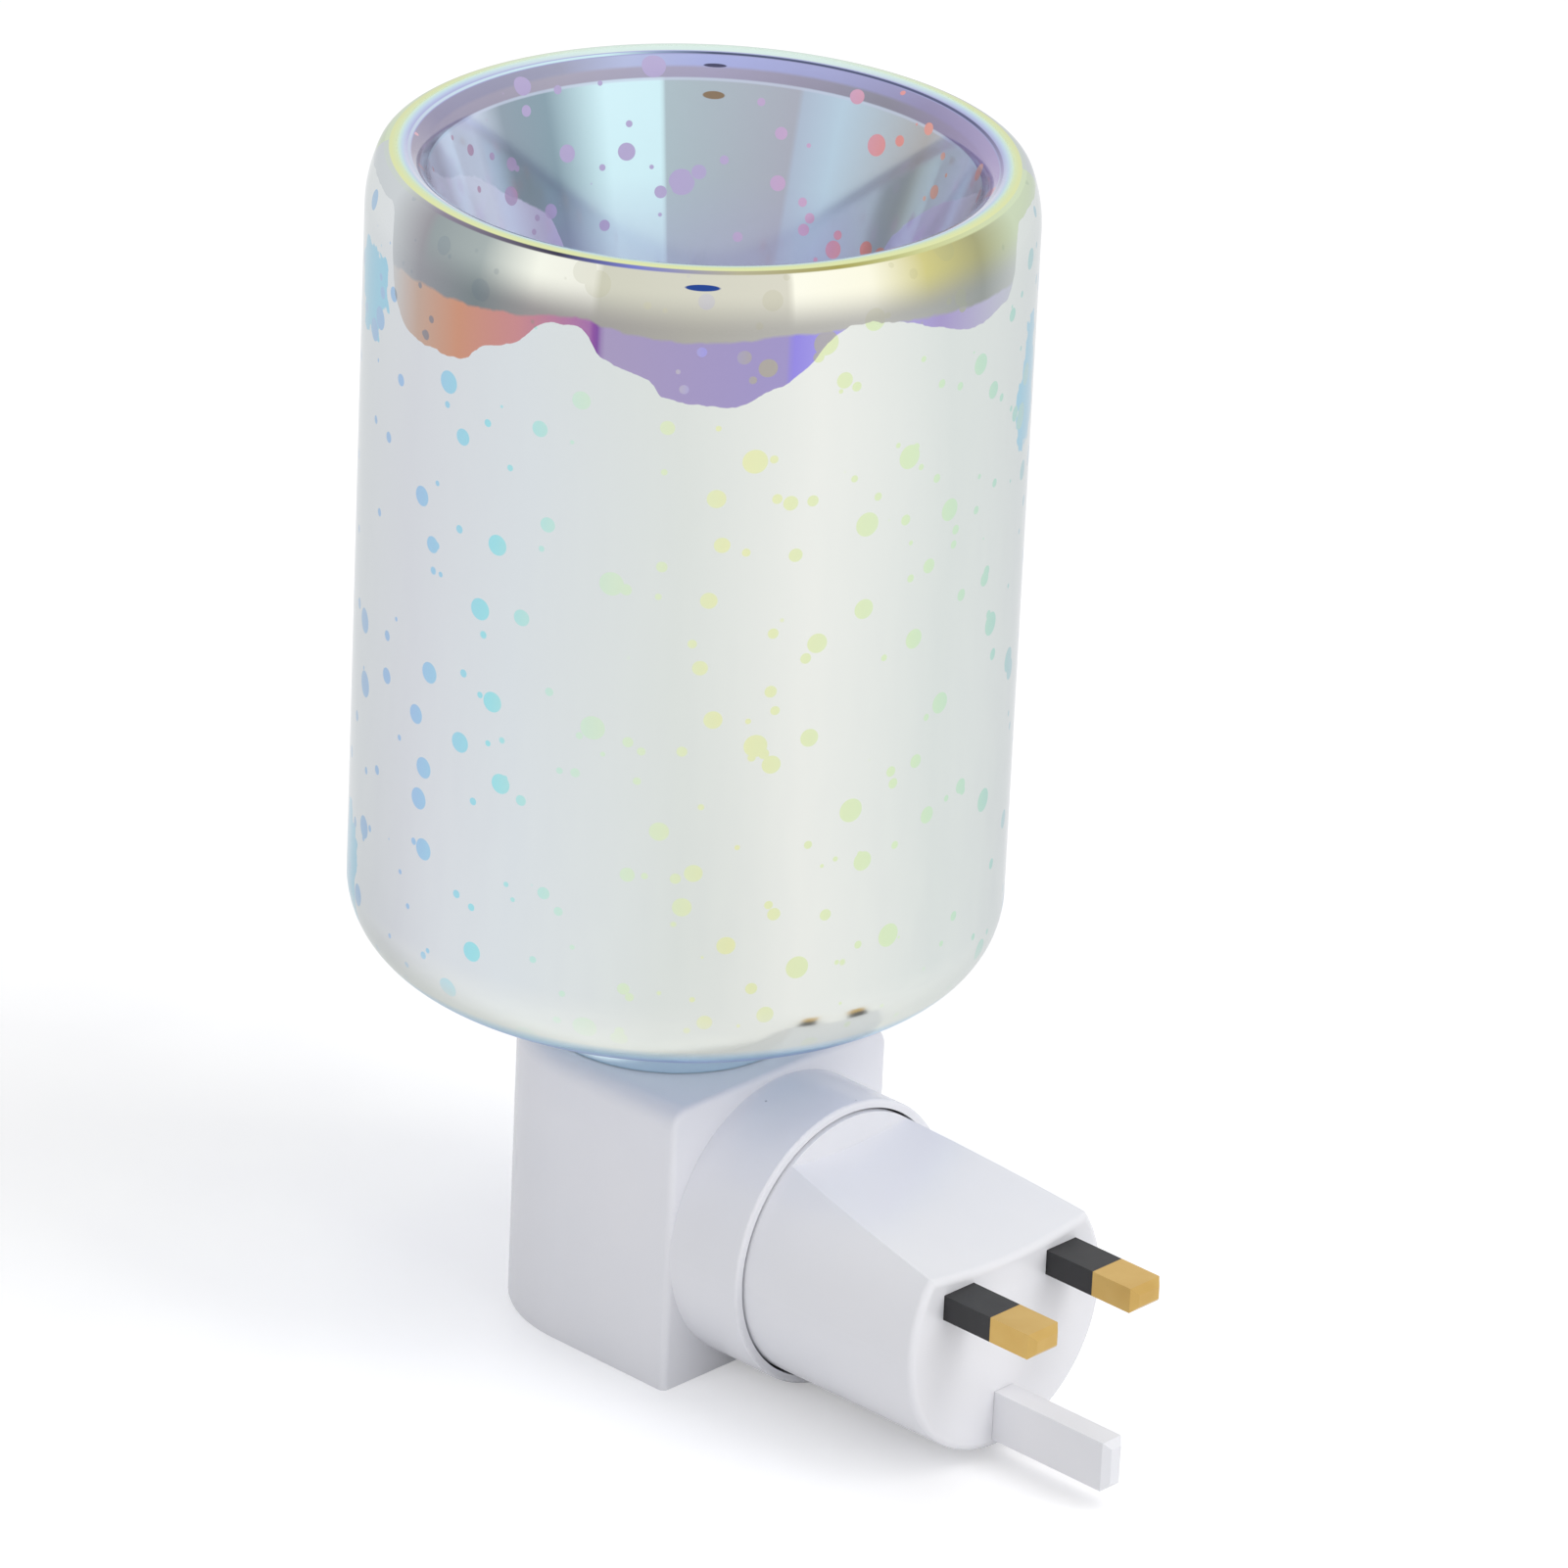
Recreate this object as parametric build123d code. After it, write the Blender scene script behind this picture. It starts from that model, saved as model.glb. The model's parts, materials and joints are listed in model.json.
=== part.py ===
from build123d import *
import os
from math import cos, hypot, radians, sin, tan

# Plug-in wax melt warmer, in millimetres.
# The origin is the centre of the plug's pin face, on the axis the plug turns about.
# +Y points into the wall, +Z is up, and the room side faces -Y.

# Glass shade, heights measured from the base's top where its neck stands
shade_radius = 49.5
shade_height = 139.8
glass_wall = 2.4
neck_radius = 19.8
neck_height = 11.8
neck_fillet = 5.0
heel_radius = 12.5
shoulder_radius = 20.2
shoulder_sweep = 21.8
lip_margin = 0.6
lip_inner_roll = 5.0
bowl_depth = 44.0
funnel_slope = 20.0
bowl_corner = 15.0

# Base: a shell, square at the plug and half round on the room side, a little larger than its collar
base_side_margin = 0.35
base_top_margin = 1.1
base_bottom_margin = 0.1
lamp_setback = 23.7
side_wall = 2.3
front_wall = 2.4
top_wall = 2.4
top_round = 3.2
front_round = 1.0
collar_length = 13.7
collar_wall = 1.3
collar_round = 0.45
spigot_wall = 1.8
spigot_height = 8.0
boss_radius = 3.2
boss_height = 11.0
boss_bite = 0.25
boss_gap = 2.0
cover_thickness = 2.2
cover_gap = 0.2
pillar_radius = 2.3

# Plug that turns in the collar
plug_length = 34.0
plug_radius = 21.1
plug_tip_radius = 20.8
plug_wall = 2.1
plug_gap = 0.3
plug_edge = 1.2
pin_wall = 3.6
back_gap = 0.8
flat_start = 0.6
flat_high = 16.1
flat_low = 10.4
flat_hollow = 90.0
post_length = 11.0
post_radius = 2.6

# Swivel: hub, trapping disc and turning contacts
hub_thickness = 2.5
hub_fit = 0.1
hub_screw_angle = 20.0
journal_radius = 12.0
journal_fit = 0.06
journal_bore = 7.5
thrust_radius = 14.2
end_play = 0.15
disc_radius = 15.0
disc_thickness = 2.0
disc_skin = 0.6
stud_radius = 2.0
stud_reach = 1.3
stud_round = 0.6
ring_inner = 5.0
ring_outer = 7.2
ring_thickness = 0.5
ring_tail = 0.8
tail_reach = 2.0
contact_gap = 0.25

# Pins of a three-pin plug: line pins above, the longer shutter pin below
line_pin_spacing = 22.2
line_pin_drop = 22.2
line_pin_width = 6.35
line_pin_height = 4.0
line_pin_length = 17.7
line_pin_rise = 7.0
earth_pin_width = 4.0
earth_pin_height = 8.0
earth_pin_length = 22.7
pin_bevel = 1.0
pin_fit = 0.05
pin_shoulder = 0.8
shoulder_thickness = 1.2
sleeve_length = 9.2
sleeve_root = 1.0
sleeve_skin = 0.55
tab_width = 4.0
tab_thickness = 1.2
tab_length = 5.5

# Lamp holder
holder_radius = 13.2
holder_fit = 0.4
holder_drop = 3.0
holder_rise = 7.0
holder_round = 0.8
holder_floor = 4.0
holder_bore = 8.0
flange_radius = 17.5
flange_thickness = 2.5
plate_width = 12.0
plate_thickness = 2.7
plate_gap = 3.3
socket_radius = 7.9
socket_wall = 0.5
socket_length = 24.0
socket_lip = 3.0
tail_radius = 1.0
tail_fit = 0.15
tail_drop = 1.5
leaf_width = 2.4
leaf_thickness = 0.5
leaf_span = 2.0

# E14 tube lamp
cap_radius = 6.95
cap_length = 24.0
cap_sink = 18.0
cap_wall = 0.4
insulator_height = 4.3
insulator_margin = 0.6
tip_radius = 2.6
tip_height = 1.2
tip_round = 0.5
envelope_radius = 13.0
envelope_length = 60.0
envelope_wall = 0.8
envelope_flare = 14.0
envelope_seat = 0.2
stem_radius = 3.0
stem_length = 19.0
stem_flare = 5.3
stem_flare_height = 3.0
filament_wire = 0.35
filament_bend = 1.5
filament_foot = 1.2
filament_rise = 9.0
filament_height = 20.0
filament_crown = 3.5
filament_span = 7.0

# Spring contacts and wires
strip_thickness = 0.5
strip_width = 4.0
live_foot = 16.0
live_knee = 9.0
live_touch = 3.0
neutral_knee_margin = 3.0
live_rivet = 11.5
neutral_rivet_margin = 3.0
rivet_radius = 1.0
rivet_head = 1.7
rivet_head_height = 0.7
rivet_depth = 1.8
wire_radius = 0.9
wire_bend = 2.2
wire_gap = 0.12
live_lead_height = 14.6
live_lead_drop = 8.0
switched_lead_dip = 12.5
neutral_lead_lift = 0.8
neutral_lead_fall = 2.4
neutral_lead_turn = 8.7
neutral_lead_rise = 10.5
link_straight = 8.0
link_end_run = 8.8

# Rocker switch on the -X side
switch_setback = 8.4
switch_width = 9.0
switch_height = 14.0
switch_depth = 9.0
switch_side = 1.2
switch_fit = 0.2
bezel_margin = 1.1
bezel_thickness = 1.4
bezel_round = 0.7
rocker_gap = 0.3
rocker_tilt = 10.0
rocker_proud = 1.6
rocker_round = 0.4
pivot_depth = 0.4
pivot_radius = 1.0
pivot_fit = 0.08
pivot_length = 1.0
pivot_end_gap = 0.1
pocket_depth = 4.5
terminal_width = 3.0
terminal_thickness = 0.8
terminal_length = 3.0
terminal_spread = 4.0

# Screws
screw_radius = 1.25
screw_head = 2.3
screw_head_height = 1.4
screw_length = 9.0
screw_fit = 0.15
slot_width = 0.6
slot_depth = 0.6
small_screw_radius = 1.0
small_screw_head = 1.9
small_screw_head_height = 1.2
small_screw_length = 9.0
screw_edge = 0.6
drill_over = 1.0

# Grip ring round the spigot
grip_gap = 0.3
grip_lift = 1.5
grip_height = 5.0
grip_round = 0.5

# Places worked out from the sizes above
collar_bore = plug_radius + plug_gap
collar_radius = collar_bore + collar_wall
half_width = collar_radius + base_side_margin
base_top = collar_radius + base_top_margin
base_bottom = collar_radius + base_bottom_margin
inside_x = half_width - side_wall
rim_y = -plug_length
front_y = rim_y - collar_length
inner_y = front_y - front_wall
lamp_y = front_y - lamp_setback
ceiling = base_top - top_wall
cover_top = cover_thickness - base_bottom
neutral_lead_z = cover_top + neutral_lead_lift + wire_radius
plate_drop = -neutral_lead_z - neutral_lead_fall
neutral_rivet = plate_drop - neutral_rivet_margin
neutral_knee = neutral_rivet - neutral_knee_margin
spigot_bore = holder_radius + holder_fit
spigot_radius = spigot_bore + spigot_wall
shell_back = front_y + back_gap
hub_inside = shell_back + hub_thickness
journal_end = inner_y - end_play
disc_face = journal_end - disc_thickness
ring_face = disc_face - ring_thickness
ring_middle = (ring_inner + ring_outer) / 2
stud_face = disc_face - stud_reach
contact_tail = journal_end + tail_reach
plate_y = disc_face - plate_gap
holder_top = base_top + holder_rise
socket_seat = holder_floor - holder_drop
socket_tail_x = socket_radius - socket_wall - tail_radius
tail_end = -holder_drop - tail_drop
lamp_tip = base_top - cap_sink
cap_bottom = lamp_tip + tip_height + insulator_height
cap_top = lamp_tip + cap_length
stem_top = cap_top + stem_length
switch_y = inner_y - switch_setback
switch_back = switch_depth - inside_x
lead_x = switch_back + terminal_length / 2
blade_edge = terminal_spread + terminal_thickness / 2
pivot_x = pivot_depth - half_width
lip_outer_roll = glass_wall + lip_margin
pin_x = line_pin_spacing / 2
earth_z = line_pin_rise - line_pin_drop
tab_low = line_pin_rise - line_pin_height / 2 + tab_thickness / 2
tab_end = -pin_wall - shoulder_thickness - tab_length
lamp_axis = Axis((0, lamp_y, 0), (0, 0, 1))


def block(x0, x1, y0, y1, z0, z1):
    centre = Pos((x0 + x1) / 2, (y0 + y1) / 2, (z0 + z1) / 2)
    return centre * Box(x1 - x0, y1 - y0, z1 - z0)


def post(radius, x, y, z0, z1):
    return Pos(x, y, (z0 + z1) / 2) * Cylinder(radius, z1 - z0)


def rod(radius, x, z, y0, y1):
    return Pos(x, (y0 + y1) / 2, z) * Rot(90, 0, 0) * Cylinder(radius, y1 - y0)


def drawn_wire(points, radius, bend):
    # straight runs joined by tangent arcs
    path = FilletPolyline(*points, radius=bend)
    start = Plane(origin=path @ 0, z_dir=path % 0)
    return sweep(start * Circle(radius), path=path)


def turned(edges):
    return revolve(make_face(edges), lamp_axis)


def at(r, z):
    return Vector(r, lamp_y, z)


def arc(centre, radius, begin, end):
    points = []
    for angle in (begin, (begin + end) / 2, end):
        r = centre[0] + radius * cos(radians(angle))
        z = centre[1] + radius * sin(radians(angle))
        points.append(at(r, z))
    return ThreePointArc(*points)


def glass_path(inset):
    # One skin of the blown glass from the neck's foot to the middle of the bowl.
    # An inset of 0 is the outer skin; the glass thickness gives the inner one.
    under = base_top + neck_height
    crest = base_top + shade_height
    gather = shoulder_radius - lip_outer_roll
    shoulder_z = crest - lip_outer_roll - gather * sin(radians(shoulder_sweep))
    neck_c = (neck_radius + neck_fillet, under - neck_fillet)
    heel_c = (shade_radius - heel_radius, under + heel_radius)
    shoulder_c = (shade_radius - shoulder_radius, shoulder_z)
    roll_r = shoulder_c[0] + gather * cos(radians(shoulder_sweep))
    outer_c = (roll_r, crest - lip_outer_roll)
    inner_c = (roll_r, crest - lip_inner_roll)
    # the funnel leaves the inner roll and meets the bowl's rounded floor
    floor_z = crest - bowl_depth
    corner_z = floor_z + bowl_corner
    slope = radians(funnel_slope)
    leave_r = inner_c[0] - lip_inner_roll * cos(slope)
    leave_z = inner_c[1] + lip_inner_roll * sin(slope)
    touch_z = corner_z - bowl_corner * sin(slope)
    touch_r = leave_r - (leave_z - touch_z) * tan(slope)
    corner_c = (touch_r - bowl_corner * cos(slope), corner_z)
    inner_roll = arc(inner_c, lip_inner_roll - inset, 90, 180 - funnel_slope)
    floor_arc = arc(corner_c, bowl_corner + inset, -funnel_slope, -90)
    return [
        Line(at(neck_radius - inset, base_top), at(neck_radius - inset, neck_c[1])),
        arc(neck_c, neck_fillet + inset, 180, 90),
        Line(at(neck_c[0], under + inset), at(heel_c[0], under + inset)),
        arc(heel_c, heel_radius - inset, -90, 0),
        Line(at(shade_radius - inset, heel_c[1]), at(shade_radius - inset, shoulder_z)),
        arc(shoulder_c, shoulder_radius - inset, 0, shoulder_sweep),
        arc(outer_c, lip_outer_roll - inset, shoulder_sweep, 90),
        inner_roll,
        Line(inner_roll @ 1, floor_arc @ 0),
        floor_arc,
        Line(floor_arc @ 1, at(0, floor_z - inset)),
    ]


def glass_shade():
    outer = glass_path(0)
    inner = glass_path(glass_wall)
    middle = Line(outer[-1] @ 1, inner[-1] @ 1)
    foot = Line(inner[0] @ 0, outer[0] @ 0)
    return turned(outer + inner + [middle, foot])


def base_plan(side_inset, front_inset):
    radius = half_width - side_inset
    depth = lamp_setback - front_inset
    straight = Pos(0, lamp_y + depth / 2) * Rectangle(2 * radius, depth)
    return straight + Pos(0, lamp_y) * Circle(radius)


def raised(plan, z0, z1):
    return extrude(Pos(0, 0, z0) * plan, amount=z1 - z0)


def boss_places():
    # two beside the swivel and one on the room side, each rooted in the wall
    reach = inside_x - boss_radius + boss_bite
    beside = inner_y - boss_gap - boss_radius
    return [(-reach, beside), (reach, beside), (0, lamp_y - reach)]


def base_housing():
    solid = raised(base_plan(0, 0), -base_bottom, base_top)
    top_edges = solid.faces().sort_by(Axis.Z)[-1].edges()
    shell = fillet([e for e in top_edges if (e @ 0.5).Y < front_y - front_round], top_round)
    front_edges = shell.faces().sort_by(Axis.Y)[-1].edges()
    shell = fillet([e for e in front_edges if (e @ 0.5).Z > front_round - base_bottom], front_round)
    collar = rod(collar_radius, 0, 0, inner_y, rim_y)
    shell += fillet(collar.edges().sort_by(Axis.Y)[-1], collar_round)
    shell -= raised(base_plan(side_wall, front_wall), -base_bottom, ceiling)
    shell += post(spigot_radius, 0, lamp_y, ceiling, base_top + spigot_height)
    shell -= post(spigot_bore, 0, lamp_y, 0, base_top + spigot_height)
    shell -= rod(collar_bore, 0, 0, front_y, rim_y)
    for x, y in boss_places():
        shell += post(boss_radius, x, y, cover_top, cover_top + boss_height) & solid
        shell -= post(screw_radius, x, y, cover_top, cover_top + boss_height - drill_over)
    shell -= rod(journal_radius + journal_fit, 0, 0, inner_y, front_y)
    z = switch_height / 2 + switch_fit
    y0 = switch_y - switch_width / 2 - switch_fit
    y1 = switch_y + switch_width / 2 + switch_fit
    return shell - block(-half_width, -inside_x, y0, y1, -z, z)


def bottom_cover():
    plan = base_plan(side_wall + cover_gap, front_wall + cover_gap)
    plate = raised(plan, -base_bottom, cover_top)
    reach = holder_radius - pillar_radius
    for x, y in ((-reach, lamp_y), (reach, lamp_y), (0, lamp_y - reach)):
        plate += post(pillar_radius, x, y, cover_top, -holder_drop)
    for x, y in boss_places():
        plate -= post(screw_radius + screw_fit, x, y, -base_bottom, cover_top)
        plate -= post(screw_head + screw_fit, x, y, -base_bottom, screw_head_height - base_bottom)
    return plate


def cover_screws():
    screws = []
    seat = screw_head_height - base_bottom
    for x, y in boss_places():
        screw = post(screw_head, x, y, -base_bottom, seat)
        screw += post(screw_radius, x, y, seat, seat + screw_length)
        half = slot_width / 2
        screw -= block(
            x - screw_head, x + screw_head, y - half, y + half, -base_bottom, slot_depth - base_bottom
        )
        screws.append(screw)
    return Compound(screws)


def grip_ring():
    low = base_top + grip_lift
    radius = neck_radius - glass_wall - grip_gap
    ring = fillet(post(radius, 0, lamp_y, low, low + grip_height).edges(), grip_round)
    return ring - post(spigot_radius, 0, lamp_y, low, low + grip_height)


def lamp_holder():
    body = post(holder_radius, 0, lamp_y, -holder_drop, holder_top)
    body = fillet(body.edges().sort_by(Axis.Z)[-1], holder_round)
    body += post(flange_radius, 0, lamp_y, ceiling - flange_thickness, ceiling)
    half = plate_width / 2
    under_flange = ceiling - flange_thickness
    body += block(-half, half, lamp_y + holder_bore, plate_y, -holder_drop, under_flange)
    body += block(-half, half, plate_y - plate_thickness, plate_y, -plate_drop, under_flange)
    body -= post(holder_bore, 0, lamp_y, socket_seat, holder_top)
    for x in (0, socket_tail_x):
        body -= post(tail_radius + tail_fit, x, lamp_y, -holder_drop, socket_seat)
    for z in (live_rivet, -neutral_rivet):
        body -= rod(rivet_radius, 0, z, plate_y - rivet_depth, plate_y)
    return body


def holder_shell():
    top = socket_seat + socket_length
    tube = post(socket_radius, 0, lamp_y, socket_seat, top)
    tube -= post(socket_radius - socket_wall, 0, lamp_y, socket_seat + socket_wall, top)
    tube -= post(socket_radius - socket_lip, 0, lamp_y, socket_seat, top)
    return tube + post(tail_radius, socket_tail_x, lamp_y, tail_end, socket_seat)


def centre_contact():
    foot_top = socket_seat + socket_wall
    contact = post(tip_radius, 0, lamp_y, socket_seat, foot_top)
    contact += post(tail_radius, 0, lamp_y, tail_end, socket_seat)
    t = leaf_thickness
    leaf = Polyline(
        (-leaf_span, foot_top), (-leaf_span + t, foot_top), (t, lamp_tip - t),
        (leaf_span, lamp_tip - t), (leaf_span, lamp_tip), (0, lamp_tip), close=True,
    )
    side = Plane((0, lamp_y, 0), x_dir=(1, 0, 0), z_dir=(0, -1, 0)) * make_face(leaf)
    return contact + extrude(side, amount=leaf_width / 2, both=True)


def lamp_cap():
    cap = post(cap_radius, 0, lamp_y, cap_bottom, cap_top)
    return cap - post(cap_radius - cap_wall, 0, lamp_y, cap_bottom + cap_wall, cap_top)


def cap_insulator():
    low = lamp_tip + tip_height
    middle = Pos(0, lamp_y, (low + cap_bottom) / 2)
    small = tip_radius + insulator_margin
    return middle * Cone(small, cap_radius - insulator_margin, cap_bottom - low)


def cap_contact():
    dot = post(tip_radius, 0, lamp_y, lamp_tip, lamp_tip + tip_height)
    return fillet(dot.edges().sort_by(Axis.Z)[0], tip_round)


def envelope_path(inset):
    foot = cap_radius - envelope_seat - inset
    wide = envelope_radius - inset
    flare_top = cap_top + envelope_flare
    dome = (0, cap_top + envelope_length - envelope_radius)
    up = Vector(0, 0, 1)
    flare = Spline(at(foot, cap_top), at(wide, flare_top), tangents=(up, up))
    side = Line(at(wide, flare_top), at(wide, dome[1]))
    return [flare, side, arc(dome, wide, 0, 90)]


def lamp_envelope():
    outer = envelope_path(0)
    inner = envelope_path(envelope_wall)
    crown = Line(outer[-1] @ 1, inner[-1] @ 1)
    foot = Line(inner[0] @ 0, outer[0] @ 0)
    return turned(outer + inner + [crown, foot])


def lamp_stem():
    low = cap_bottom + cap_wall
    flare_top = low + stem_flare_height
    flare = Pos(0, lamp_y, (low + flare_top) / 2) * Cone(stem_flare, stem_radius, stem_flare_height)
    return flare + post(stem_radius, 0, lamp_y, flare_top, stem_top)


def lamp_filament():
    # two supports rise from the stem and carry the looped wire
    wide = stem_top + filament_rise
    high = stem_top + filament_height
    points = [
        (-filament_foot, lamp_y, stem_top),
        (-filament_foot, lamp_y, stem_top + filament_bend),
        (-filament_span, lamp_y, wide),
        (-filament_span, lamp_y, high),
        (0, lamp_y, high + filament_crown),
        (filament_span, lamp_y, high),
        (filament_span, lamp_y, wide),
        (filament_foot, lamp_y, stem_top + filament_bend),
        (filament_foot, lamp_y, stem_top),
    ]
    return drawn_wire(points, filament_wire, filament_bend)


def bent_strip(points):
    # flat spring strip, bent in the plane of the swivel and lamp axes
    far = [(0, y, z) for y, z in points]
    near = [(0, y + strip_thickness, z) for y, z in reversed(points)]
    side = make_face(Polyline(*far, *near, close=True))
    return extrude(side, amount=strip_width / 2, both=True)


def live_brush():
    touch_y = stud_face - contact_gap - strip_thickness
    strip = bent_strip([
        (plate_y, live_foot), (plate_y, live_knee), (touch_y, live_touch), (touch_y, -stud_radius),
    ])
    return strip - rod(rivet_radius, 0, live_rivet, plate_y, plate_y + strip_thickness)


def neutral_brush():
    touch_y = ring_face - contact_gap - strip_thickness
    strip = bent_strip([
        (plate_y, -plate_drop), (plate_y, -neutral_knee), (touch_y, -ring_outer), (touch_y, -ring_inner),
    ])
    return strip - rod(rivet_radius, 0, -neutral_rivet, plate_y, plate_y + strip_thickness)


def brush_rivets():
    seat = plate_y + strip_thickness
    rivets = []
    for z in (live_rivet, -neutral_rivet):
        rivet = rod(rivet_head, 0, z, seat, seat + rivet_head_height)
        rivets.append(rivet + rod(rivet_radius, 0, z, plate_y - rivet_depth, seat))
    return Compound(rivets)


def live_lead():
    # from the live brush's edge across to the upper switch terminal
    y = plate_y + wire_radius + wire_gap
    points = [
        (-strip_width / 2, y, live_lead_height),
        (lead_x, y, live_lead_height),
        (lead_x, switch_y, live_lead_drop),
        (lead_x, switch_y, blade_edge),
    ]
    return drawn_wire(points, wire_radius, wire_bend)


def switched_lead():
    # from the lower switch terminal under the holder to the centre contact
    points = [
        (lead_x, switch_y, -blade_edge),
        (lead_x, switch_y, -switched_lead_dip),
        (0, lamp_y, -switched_lead_dip),
        (0, lamp_y, tail_end),
    ]
    return drawn_wire(points, wire_radius, wire_bend)


def neutral_lead():
    # from the neutral brush's foot along the cover to the lamp shell's tail
    y = plate_y + strip_thickness / 2
    points = [
        (0, y, -plate_drop),
        (0, y, neutral_lead_z),
        (socket_tail_x, y - neutral_lead_turn, neutral_lead_z),
        (socket_tail_x, lamp_y, -neutral_lead_rise),
        (socket_tail_x, lamp_y, tail_end),
    ]
    return drawn_wire(points, wire_radius, wire_bend)


def switch_body():
    y0 = switch_y - switch_width / 2
    y1 = switch_y + switch_width / 2
    z = switch_height / 2
    outside = -half_width - bezel_thickness
    m = bezel_margin
    bezel = block(outside, -half_width, y0 - m, y1 + m, -z - m, z + m)
    body = fillet(bezel.faces().sort_by(Axis.X)[0].edges(), bezel_round)
    body += block(-half_width, switch_back, y0, y1, -z, z)
    s = switch_side
    body -= block(outside, pocket_depth - half_width, y0 + s, y1 - s, -z + s, z - s)
    sunk = pivot_length - rocker_gap + pivot_end_gap
    return body - rod(pivot_radius + pivot_fit, pivot_x, 0, y0 + s - sunk, y1 - s + sunk)


def switch_terminals():
    half_w = terminal_width / 2
    half_t = terminal_thickness / 2
    end = switch_back + terminal_length
    blades = []
    for z in (terminal_spread, -terminal_spread):
        blades.append(block(switch_back, end, switch_y - half_w, switch_y + half_w, z - half_t, z + half_t))
    return Compound(blades)


def switch_rocker():
    # two shallow faces that meet at the pivot, with ends turned about it; drawn tipped to off
    half = switch_height / 2 - switch_side - rocker_gap
    width = switch_width - 2 * switch_side - 2 * rocker_gap
    crown = pivot_depth + bezel_thickness + rocker_proud
    dip = tan(radians(rocker_tilt)) * half
    outline = Polyline(
        (pivot_radius, -half), (-crown, -half), (dip - crown, 0), (-crown, half), (pivot_radius, half),
        close=True,
    )
    side = Plane((0, 0, 0), x_dir=(1, 0, 0), z_dir=(0, -1, 0)) * make_face(outline)
    paddle = extrude(side, amount=width / 2, both=True) & rod(half, 0, 0, -width / 2, width / 2)
    across = [e for e in paddle.edges().filter_by(Axis.Y) if (e @ 0.5).X < 0]
    paddle = fillet([e for e in across if abs((e @ 0.5).Z) > pivot_radius], rocker_round)
    reach = width / 2 + pivot_length
    paddle += rod(pivot_radius, 0, 0, -reach, reach)
    return Pos(pivot_x, switch_y, 0) * Rot(0, rocker_tilt, 0) * paddle


def plug_form(inset, tip_y):
    # round body with a slight draft, from inside the collar to the pin face
    draft = (plug_radius - plug_tip_radius) / -shell_back
    tip_radius_here = plug_radius - draft * (tip_y - shell_back) - inset
    middle = Pos(0, (shell_back + tip_y) / 2, 0) * Rot(-90, 0, 0)
    return middle * Cone(plug_radius - inset, tip_radius_here, tip_y - shell_back)


def finger_flat(inset):
    # dished, sloping cut across the top, from just past the collar rim to the pin face
    start = rim_y + flat_start
    slope = (flat_high - flat_low) / -start
    lift = flat_hollow * hypot(1, slope) - inset
    begin = Vector(0, start - flat_hollow, flat_high + slope * flat_hollow + lift)
    finish = Vector(0, flat_hollow, flat_low - slope * flat_hollow + lift)
    along = finish - begin
    scoop = Plane((begin + finish) / 2, x_dir=(1, 0, 0), z_dir=along) * Cylinder(flat_hollow, along.length)
    return scoop & block(-plug_radius, plug_radius, start - inset, drill_over, 0, plug_radius)


def hub_screw_places():
    reach = plug_radius - plug_wall - small_screw_head - screw_edge
    side = reach * cos(radians(hub_screw_angle))
    drop = reach * sin(radians(hub_screw_angle))
    return [(-side, -drop), (side, -drop)]


def disc_screw_places():
    reach = (journal_radius + journal_bore) / 2
    return [(-reach, 0), (reach, 0)]


def pin_block(width, height, x, z, y0, y1):
    return block(x - width / 2, x + width / 2, y0, y1, z - height / 2, z + height / 2)


def plug_shell():
    shell = plug_form(0, 0) - finger_flat(0)
    shell = fillet(shell.faces().sort_by(Axis.Y)[-1].edges(), plug_edge)
    shell -= plug_form(plug_wall, -pin_wall) - finger_flat(plug_wall)
    solid = plug_form(plug_wall / 2, 0)
    for x, z in hub_screw_places():
        shell += rod(post_radius, x, z, hub_inside, hub_inside + post_length) & solid
        shell -= rod(small_screw_radius, x, z, hub_inside, hub_inside + post_length - drill_over)
    gap = 2 * pin_fit
    for x in (-pin_x, pin_x):
        shell -= pin_block(line_pin_width + gap, line_pin_height + gap, x, line_pin_rise, -pin_wall, 0)
    return shell - pin_block(earth_pin_width + gap, earth_pin_height + gap, 0, earth_z, -pin_wall, 0)


def swivel_hub():
    hub = rod(plug_radius - plug_wall - hub_fit, 0, 0, shell_back, hub_inside)
    hub += rod(thrust_radius, 0, 0, front_y + end_play, shell_back)
    hub += rod(journal_radius, 0, 0, journal_end, shell_back)
    hub -= rod(journal_bore, 0, 0, journal_end, hub_inside)
    for x, z in disc_screw_places():
        hub -= rod(small_screw_radius, x, z, journal_end, hub_inside)
    for x, z in hub_screw_places():
        hub -= rod(small_screw_radius + screw_fit, x, z, shell_back, hub_inside)
        hub -= rod(small_screw_head + screw_fit, x, z, shell_back, shell_back + small_screw_head_height)
    return hub


def hub_screws():
    seat = shell_back + small_screw_head_height
    screws = []
    for x, z in hub_screw_places():
        screw = rod(small_screw_head, x, z, shell_back, seat)
        screws.append(screw + rod(small_screw_radius, x, z, seat, seat + small_screw_length))
    return Compound(screws)


def contact_disc():
    disc = rod(disc_radius, 0, 0, disc_face, journal_end)
    disc -= rod(stud_radius, 0, 0, disc_face, journal_end)
    disc -= rod(ring_tail, 0, ring_middle, disc_face, journal_end)
    for x, z in disc_screw_places():
        disc -= rod(small_screw_radius, x, z, disc_face + disc_skin, journal_end)
    return disc


def disc_screws():
    screws = []
    for x, z in disc_screw_places():
        screw = rod(small_screw_head, x, z, hub_inside, hub_inside + small_screw_head_height)
        screws.append(screw + rod(small_screw_radius, x, z, disc_face + disc_skin, hub_inside))
    return Compound(screws)


def contact_stud():
    stud = rod(stud_radius, 0, 0, stud_face, contact_tail)
    return fillet(stud.edges().sort_by(Axis.Y)[0], stud_round)


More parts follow.
